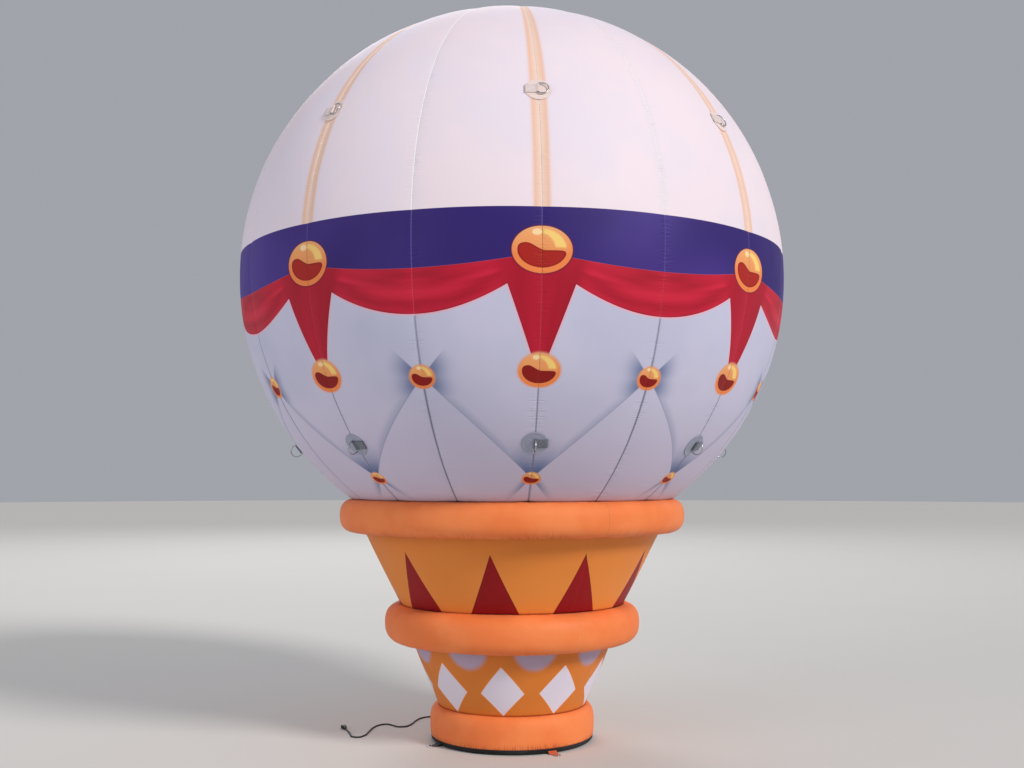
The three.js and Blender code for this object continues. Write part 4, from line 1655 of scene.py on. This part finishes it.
@dataclass
class Band:
    """A band of cloth round the pot, sewn to its neighbours above and below."""

    name: str
    node: str
    finish: Finish
    slot: str
    rests_on: str
    held: str = "stretched"
    columns: int = 400
    rows: int = 24
    cloth: float = 0.0012
    pleat: float = 0.003
    tuck: float = 0.003
    tuck_reach: float = 0.03
    sway: float = 0.0018
    pull: float = 0.0025
    pucker: float = 0.0012
    panels: tuple[float, ...] = (30.0, 150.0, 270.0)
    from_below: bool = False
    lengths: list[float] = field(default_factory=list)

    def line(self, t: float) -> Spot:
        """Gives the outline's distance from the axis and height, from its upper seam to its lower one."""
        raise NotImplementedError

    def measure(self) -> None:
        """Measures the outline, so that a share of it can be turned to metres."""
        points = [Vector(self.line(i / 200)) for i in range(201)]
        self.lengths = [0.0]
        for a, b in zip(points, points[1:]):
            self.lengths.append(self.lengths[-1] + (b - a).length)

    def along(self, t: float) -> float:
        """Gives the metres from the upper seam."""
        place = min(int(t * 200), 199)
        return self.lengths[place] + (self.lengths[place + 1] - self.lengths[place]) * (t * 200 - place)

    def off_panel(self, azimuth: float, r: float) -> float:
        """Gives the metres to the nearest seam between two panels."""
        turns = [abs((azimuth - seam + 180) % 360 - 180) for seam in self.panels]
        return math.radians(min(turns, default=180.0)) * r

    def relief(self, azimuth: float, r: float, down: float) -> float:
        """Gives how far the cloth stands off its outline: gathered at its two edges and pulled in at its panels' seams.

        Args:
            azimuth: where the spot is.
            r: its distance from the axis.
            down: the metres from the upper seam.

        Returns:
            The metres outwards.
        """
        up = self.lengths[-1] - down
        # the name's length shifts the noise, so that the bands differ
        gather = noise.noise(around(azimuth, r / 0.026, down * 6 + len(self.name)))
        coarse = noise.noise(around(azimuth, r / 0.075, down * 9 + 3.0))
        upper = self.pleat * fade(down, 0.03) * (1 - fade(down, 0.007))
        lower = self.tuck * fade(up, self.tuck_reach) * (1 - fade(up, 0.007))
        sway = self.sway * noise.noise(around(azimuth, r * 4.5, down * 4))
        off = self.off_panel(azimuth, r)
        ripple = noise.noise(Vector((down / 0.022, off * 9, 2.0)))
        seam = self.pucker * fade(off, 0.035) * ripple - self.pull * fade(off, 0.01)
        return (upper + lower) * (gather + 0.8 * coarse) + (sway + seam) * (1 - fade(min(down, up), 0.02))

    def place(self, s: float, t: float) -> Vector:
        """Gives where a spot of the cloth goes.

        Args:
            s: the share of the way round.
            t: the share of the way down.

        Returns:
            The point.
        """
        azimuth = 360 * s - 180
        r, z = self.line(t)
        r0, z0 = self.line(max(t - 0.01, 0.0))
        r1, z1 = self.line(min(t + 0.01, 1.0))
        normal = Vector((z0 - z1, r1 - r0)).normalized()
        lift = self.relief(azimuth, r, self.along(t))
        return around(azimuth, r + normal.x * lift, z + normal.y * lift)

    def cut(self, s: float, t: float, _: Spot) -> Spot:
        """Gives the metres round, at the band's middle radius, and from the upper or the lower seam."""
        down = self.along(t)
        return math.radians(360 * s - 180) * self.middle, self.lengths[-1] - down if self.from_below else down

    def seams(self, s: float, t: float) -> Spot:
        """Gives the metres to the nearest seam between panels, and to the nearer edge."""
        down = self.along(t)
        return self.off_panel(360 * s - 180, self.line(t)[0]), min(down, self.lengths[-1] - down)

    def sewing(self, s: float, t: float, middle: Spot) -> Spot:
        """Gives the metres from the seam that is nearest to the face's middle, and along it.

        Args:
            s: the share of the way round.
            t: the share of the way down.
            middle: both shares for the face's middle.

        Returns:
            The two distances.
        """
        off, edge = self.seams(s, t)
        middle_off, middle_edge = self.seams(*middle)
        return (off, self.along(t)) if middle_off < middle_edge else (edge, math.radians(360 * s) * self.middle)

    @property
    def middle(self) -> float:
        """The radius at the middle of the outline's two ends."""
        return (self.line(0.0)[0] + self.line(1.0)[0]) / 2

    @property
    def flat(self) -> Spot:
        """The size of the cloth before it is sewn round."""
        return math.tau * max(self.line(i / 100)[0] for i in range(101)), self.lengths[-1]

    def sew(self) -> bmesh.types.BMesh:
        """Cuts and bends the band."""
        charts = {CUT: self.cut, SEWING: self.sewing}
        return cloth_grid(self.columns, self.rows, self.place, charts, closed=True)

    def build(self) -> None:
        """Adds the band."""
        self.measure()
        piece = add_piece(
            self.name, self.sew(), [self.finish], self.slot, replaced=[self.node], cloth=self.cloth, crease=80.0
        )
        steps = [b - a for a, b in zip(self.lengths, self.lengths[1:])]
        area = sum(math.tau * self.line((i + 0.5) / len(steps))[0] * step for i, step in enumerate(steps))
        self.flat


@dataclass
class PuffedRing(Band):
    """A ring of cloth that the air puffs out to an arc of a tube."""

    centre_r: float = 0.0
    centre_z: float = 0.0
    tube: float = 0.0
    start: float = 0.0
    end: float = 0.0
    square: float = 0.075
    gap: float = 0.0003
    pleat: float = 0.0046
    tuck: float = 0.0085
    tuck_reach: float = 0.05
    from_below: bool = True

    def line(self, t: float) -> Spot:
        """Follows the tube's arc, a little fuller at its shoulders than a true circle.

        Args:
            t: the share of the way down.

        Returns:
            The distance from the axis and the height.
        """
        gap = self.gap / self.tube
        angle = math.radians(self.start) - gap - (math.radians(self.start - self.end) - 2 * gap) * t
        held = 1 - fade(min(t, 1 - t), 0.06)
        reach = self.tube * (1 + self.square * math.sin(2 * angle) ** 2 * held)
        return self.centre_r + reach * math.cos(angle), self.centre_z + reach * math.sin(angle)


@dataclass
class Cone(Band):
    """A cone of cloth between two rings, very slightly full."""

    top: Spot = (0.0, 0.0)
    foot: Spot = (0.0, 0.0)
    fullness: float = 0.004

    def line(self, t: float) -> Spot:
        """Follows the cone's side and its fullness.

        Args:
            t: the share of the way down.

        Returns:
            The distance from the axis and the height.
        """
        (r0, z0), (r1, z1) = self.top, self.foot
        full = self.fullness * math.sin(math.pi * t)
        return r0 + (r1 - r0) * t + full, z0 + (z1 - z0) * t


@dataclass
class BaseWall(Band):
    """The lowest ring: a rounded shoulder and a nearly straight side, with the blower's opening at the back."""

    shoulder: Spot = (0.446, 0.105)
    seam: Spot = (0.400, 0.1877)
    foot: Spot = (0.441, 0.0283)
    inlet_azimuth: float = -140.0
    opening: float = 0.049
    from_below: bool = True

    def line(self, t: float) -> Spot:
        """Follows the shoulder's curve over the first half and the side over the second.

        Args:
            t: the share of the way down.

        Returns:
            The distance from the axis and the height.
        """
        (sr, sz), (r, z), (fr, fz) = self.seam, self.shoulder, self.foot
        if t > 0.5:
            down = (t - 0.5) * 2
            return r + (fr - r) * down**2, z + (fz - z) * down
        curve = [Vector(p) for p in ((sr, sz), (r - 0.014, sz - 0.0017), (r, sz - 0.0277), (r, z))]
        k = t * 2
        while len(curve) > 1:
            curve = [a.lerp(b, k) for a, b in zip(curve, curve[1:])]
        return curve[0].x, curve[0].y

    def sew(self) -> bmesh.types.BMesh:
        """Cuts the band and its opening, whose edge the inlet's flange covers.

        Returns:
            The cloth, open at the inlet.
        """
        mesh = super().sew()
        axis = around(self.inlet_azimuth, 1.0, 0.0)
        centre = Vector((0, 0, self.shoulder[1]))

        def near(vert: bmesh.types.BMVert) -> bool:
            """Tells whether a vertex lies in the opening."""
            off = vert.co - centre
            return off.dot(axis) > 0 and (off - axis * off.dot(axis)).length < self.opening

        gone = [face for face in mesh.faces if any(near(vert) for vert in face.verts)]
        bmesh.ops.delete(mesh, geom=gone, context="FACES")
        return mesh


@dataclass
class FloorSheet(Band):
    """The black sheet under the base, turned up at its edge."""

    edge: tuple[Spot, ...] = ((0.4412, 0.028), (0.4395, 0.014), (0.431, 0.004), (0.414, 0.0014))

    def line(self, t: float) -> Spot:
        """Follows the turned-up edge over the first half and the flat sheet over the second.

        Args:
            t: the share of the way down.

        Returns:
            The distance from the axis and the height.
        """
        if t > 0.5:
            return self.edge[-1][0] * (1 - t) * 2, self.edge[-1][1]
        place = t * 2 * (len(self.edge) - 1)
        i = min(int(place), len(self.edge) - 2)
        (r0, z0), (r1, z1) = self.edge[i], self.edge[i + 1]
        return r0 + (r1 - r0) * (place - i), z0 + (z1 - z0) * (place - i)

    @property
    def flat(self) -> Spot:
        """The size of the round cloth before its edge is turned up."""
        return 2 * self.lengths[-1], 2 * self.lengths[-1]

    def relief(self, azimuth: float, r: float, down: float) -> float:
        """Ripples the turned-up edge a little."""
        return 0.0008 * fade(down, 0.02) * noise.noise(around(azimuth, r / 0.03, 0.0))


@dataclass
class Inlet:
    """The blower's air inlet in the base: a moulded collar with a flange and a grille of bars."""

    azimuth: float = -140.0
    height: float = 0.105
    radius: float = 0.055
    wall: float = 0.008
    inner: float = 0.425
    outer: float = 0.456
    flange: float = 0.064
    bars: int = 4

    def build(self) -> None:
        """Moulds the collar and sets the bars in it."""
        up, east, outward = Vector((0, 0, 1)), around(self.azimuth + 90, 1.0, 0.0), around(self.azimuth, 1.0, 0.0)
        frame = frame_at(up * self.height, east, up, outward)
        bore, lip = self.radius - self.wall, self.outer
        profile = [
            (bore, self.inner), (self.radius - 0.001, self.inner), (self.radius - 0.0005, lip - 0.0155),
            (self.flange, lip - 0.0085), (self.flange + 0.001, lip - 0.0065), (self.flange - 0.001, lip - 0.0045),
            (self.radius, lip - 0.001), (self.radius - 0.003, lip), (bore + 0.002, lip - 0.0005), (bore, lip - 0.003),
        ]
        add_piece("inlet_collar", spun(profile, 64, frame), [ABS], "black_plastic", replaced=["air_inlet"])
        mesh = bmesh.new()
        for i in range(1, self.bars + 1):
            rise = i * 2 * bore / (self.bars + 1) - bore
            half = math.sqrt((bore + 0.002) ** 2 - rise**2)
            self.bar(mesh, Matrix.Translation((0, rise, lip - 0.004)) @ Matrix.Diagonal((half * 2, 0.003, 0.004, 1)))
        self.bar(mesh, Matrix.Translation((0, 0, lip - 0.0065)) @ Matrix.Diagonal((0.003, bore * 2 + 0.002, 0.003, 1)))
        bmesh.ops.transform(mesh, matrix=frame, verts=mesh.verts[:])
        add_piece("inlet_grille", mesh, [ABS], "black_plastic")

    def bar(self, mesh: bmesh.types.BMesh, place: Matrix) -> None:
        """Adds a bar with rounded edges."""
        verts = bmesh.ops.create_cube(mesh, size=1.0, matrix=place)["verts"]
        rounded(mesh, edges_of(verts), 0.0008, 2)


@dataclass
class PegTabs:
    """Four tapered strap tabs that run down the sheet's edge to the floor, each folded round a small D-ring."""

    first: float = 28.0
    count: int = 4
    bar_radius: float = 0.4865
    bar_height: float = 0.0041
    fold: float = 0.0022
    thickness: float = 0.0012
    width: float = 0.050
    end_width: float = 0.0235
    lower: tuple[Spot, ...] = ((0.028, 0.0019), (0.018, 0.0019), (0.008, 0.0019))
    upper: tuple[Spot, ...] = (
        (0.0045, 0.0040), (0.0085, 0.0023), (0.014, 0.0022), (0.020, 0.0022), (0.026, 0.0023), (0.031, 0.0029),
        (0.036, 0.0049), (0.041, 0.0084), (0.0448, 0.0120), (0.0466, 0.0150),
    )
    ring: DeeRing = DeeRing(half_width=0.0155, leg=0.006, corner=0.003, wire=0.0018)
    lean: float = 5.0

    def across(self, far: float) -> float:
        """Gives the strap's width, which its folded corners narrow towards the ring."""
        share = min(max((far - 0.008) / 0.020, 0.0), 1.0)
        return self.end_width + (self.width - self.end_width) * share * share * (3 - 2 * share)

    def build(self) -> None:
        """Sews the tabs and hangs a ring in each."""
        for number in range(self.count):
            azimuth = self.first + number * 360 / self.count
            inwards, up = -around(azimuth, 1.0, 0.0), Vector((0, 0, 1))
            frame = frame_at(around(azimuth, self.bar_radius, 0.0), inwards, up.cross(inwards), up)
            strap = folded_strap(self.lower, self.upper, self.bar_height, self.fold, self.across, frame)
            finish = ORANGE_WEBBING if number == 0 else BLACK_WEBBING
            add_piece(f"peg_tab_{number + 1}", strap, [finish], "grey_webbing", cloth=self.thickness)
            place = frame @ Matrix.Translation((0, 0, self.bar_height)) @ Matrix.Rotation(math.pi / 2, 4, "Z")
            lying = place @ Matrix.Rotation(-math.radians(self.lean), 4, "X")
            add_piece(f"peg_ring_{number + 1}", self.ring.bend(lying), [STEEL], "ring_steel")


@dataclass
class GuyAnchors:
    """Eight anchors in each of two rows: a sewn patch, a folded webbing tab and a D-ring that swings in it."""

    sphere: Sphere
    count: int = 8
    patch: float = 0.063
    lift: float = 0.0006
    thickness: float = 0.003
    strap: float = 0.0019
    tab_length: float = 0.062
    tab_width: float = 0.048
    fold_end: float = 0.014
    low: float = 0.0033
    bar: float = 0.0091
    loop: float = 0.0038
    ring: DeeRing = DeeRing(half_width=0.031, leg=0.016, corner=0.005, wire=0.003)

    def build(self) -> None:
        """Sews every anchor and hangs its ring."""
        for plan in (row.value for row in Row):
            name, slot = plan.name, plan.slot
            for number in range(1, self.count + 1):
                place = self.sphere.frame(self.sphere.first + (number - 1) * 360 / self.count, plan.latitude)
                turned = place @ Matrix.Rotation(math.radians(plan.turn), 4, "Z")
                node, body = f"{name}_anchor_{number}", f"{name}_ring_{number}"
                add_piece(f"{name}_patch_{number}", self.disc(turned), [plan.patch], slot, replaced=[node])
                add_piece(f"{name}_tab_{number}", self.tab(turned), [plan.strap], slot, cloth=self.strap)
                hung = place @ Matrix.Translation((0, 0, self.bar)) @ Matrix.Rotation(-math.radians(plan.rise), 4, "Y")
                ring = self.ring.bend(hung @ Matrix.Rotation(-math.pi / 2, 4, "Z"))
                add_piece(f"{name}_dee_{number}", ring, [STEEL], "ring_steel", body=body, replaced=[body])

    def height(self, r: float, lift: float) -> float:
        """Gives the height over the spot's tangent plane of a surface that follows the sphere."""
        return math.sqrt((self.sphere.radius + lift) ** 2 - r**2) - self.sphere.radius

    def disc(self, frame: Matrix) -> bmesh.types.BMesh:
        """Cuts the round patch, which follows the sphere and has a turned hem.

        Args:
            frame: where it goes.

        Returns:
            The patch, its faces outwards.
        """
        top, low = self.lift + self.thickness - 0.0006, self.lift
        radii = (0.0, 0.015, 0.03, 0.045, 0.052, 0.0535, 0.058, 0.0615)
        swell = (0.0, 0.0, 0.0, 0.0, -0.0002, 0.0003, 0.0006, 0.0004)
        profile = [(r, self.height(r, top + s)) for r, s in zip(radii, swell)]
        profile += [(self.patch, self.height(self.patch, (top + low) / 2)), (0.0618, self.height(0.0618, low))]
        profile += [(0.0, self.height(0.0, low))]
        mesh = spun(profile, 60, Matrix.Identity(4))
        for name in (CUT, SEWING):
            layer = mesh.loops.layers.uv.new(name)
            for face in mesh.faces:
                middle = face.calc_center_median()
                turn = math.atan2(middle.y, middle.x)
                for loop in face.loops:
                    co = loop.vert.co
                    r, angle = co.xy.length, turn
                    if r > 1e-5:
                        angle += (math.atan2(co.y, co.x) - turn + math.pi) % math.tau - math.pi
                    loop[layer].uv = co.xy if name == CUT else (self.patch - r, angle * self.patch)
        bmesh.ops.transform(mesh, matrix=frame, verts=mesh.verts[:])
        return mesh

    def tab(self, frame: Matrix) -> bmesh.types.BMesh:
        """Folds the strap round the ring's bar; its two layers follow the sphere.

        Args:
            frame: where it goes.

        Returns:
            The strap's inner face.
        """
        low, high = self.low + self.strap, self.low + self.strap + 0.0002
        spread = [self.fold_end + (self.tab_length - self.fold_end) * i / 6 for i in range(7)]
        lower = [(far, low + self.height(far, 0.0)) for far in reversed(spread)]
        upper = [(far, high + self.height(far, 0.0)) for far in spread]
        return folded_strap(lower, upper, self.bar, self.loop, lambda _: self.tab_width, frame)


def pot() -> list[Band]:
    """Gives the bands of the pot, from the sphere down.

    Returns:
        The six bands.
    """
    return [
        PuffedRing(
            "rim_ring_cloth", "rim_ring", ORANGE, "orange_fabric", "upper_cone", columns=960, rows=28,
            centre_r=0.857, centre_z=1.213, tube=0.09, start=73.8, end=-118.3,
        ),
        Cone(
            "upper_cone_cloth", "upper_cone", TRIANGLES, "amber_fabric", "middle_ring", rows=36,
            top=(0.8146, 1.1343), foot=(0.6102, 0.7315),
        ),
        PuffedRing(
            "middle_ring_cloth", "middle_ring", ORANGE, "orange_fabric", "lower_cone", columns=760, rows=30,
            centre_r=0.5975, centre_z=0.632, tube=0.1, start=82.8, end=-118.4,
        ),
        Cone(
            "lower_cone_cloth", "lower_cone", DIAMONDS, "amber_fabric", "base_ring", columns=280, rows=30,
            panels=(60.0, 180.0, 300.0), top=(0.5498, 0.5437), foot=(0.4002, 0.1883),
        ),
        BaseWall(
            "base_ring_cloth", "base_ring", BASE_ORANGE, "orange_fabric", "floor_sheet", columns=320, rows=24,
            pleat=0.002, tuck=0.002, panels=(-60.0, 120.0),
        ),
        FloorSheet(
            "floor_sheet_cloth", "floor_sheet", BLACK_SHEET, "black_fabric", "base_ring", held="laid", columns=160,
            rows=24, panels=(),
        ),
    ]


def main() -> None:
    """Builds the camera and the lead first, then the sphere, the pot and the fittings."""
    logging.basicConfig(level=logging.INFO, format="%(message)s")
    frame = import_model()
    studio = Studio()
    studio.camera()
    PowerLead().build()
    sphere = Sphere()
    sphere.build()
    for band in pot():
        band.build()
    Inlet().build()
    PegTabs().build()
    GuyAnchors(sphere).build()
    blower = frame["nodes"]["blower"]
    blower.data.materials.clear()
    blower.data.materials.append(dressed(ABS))
    LOG.info("blower: the CAD block, in %s", ABS.name)
    studio.light()
    studio.floor()


if __name__ == "__main__":
    main()
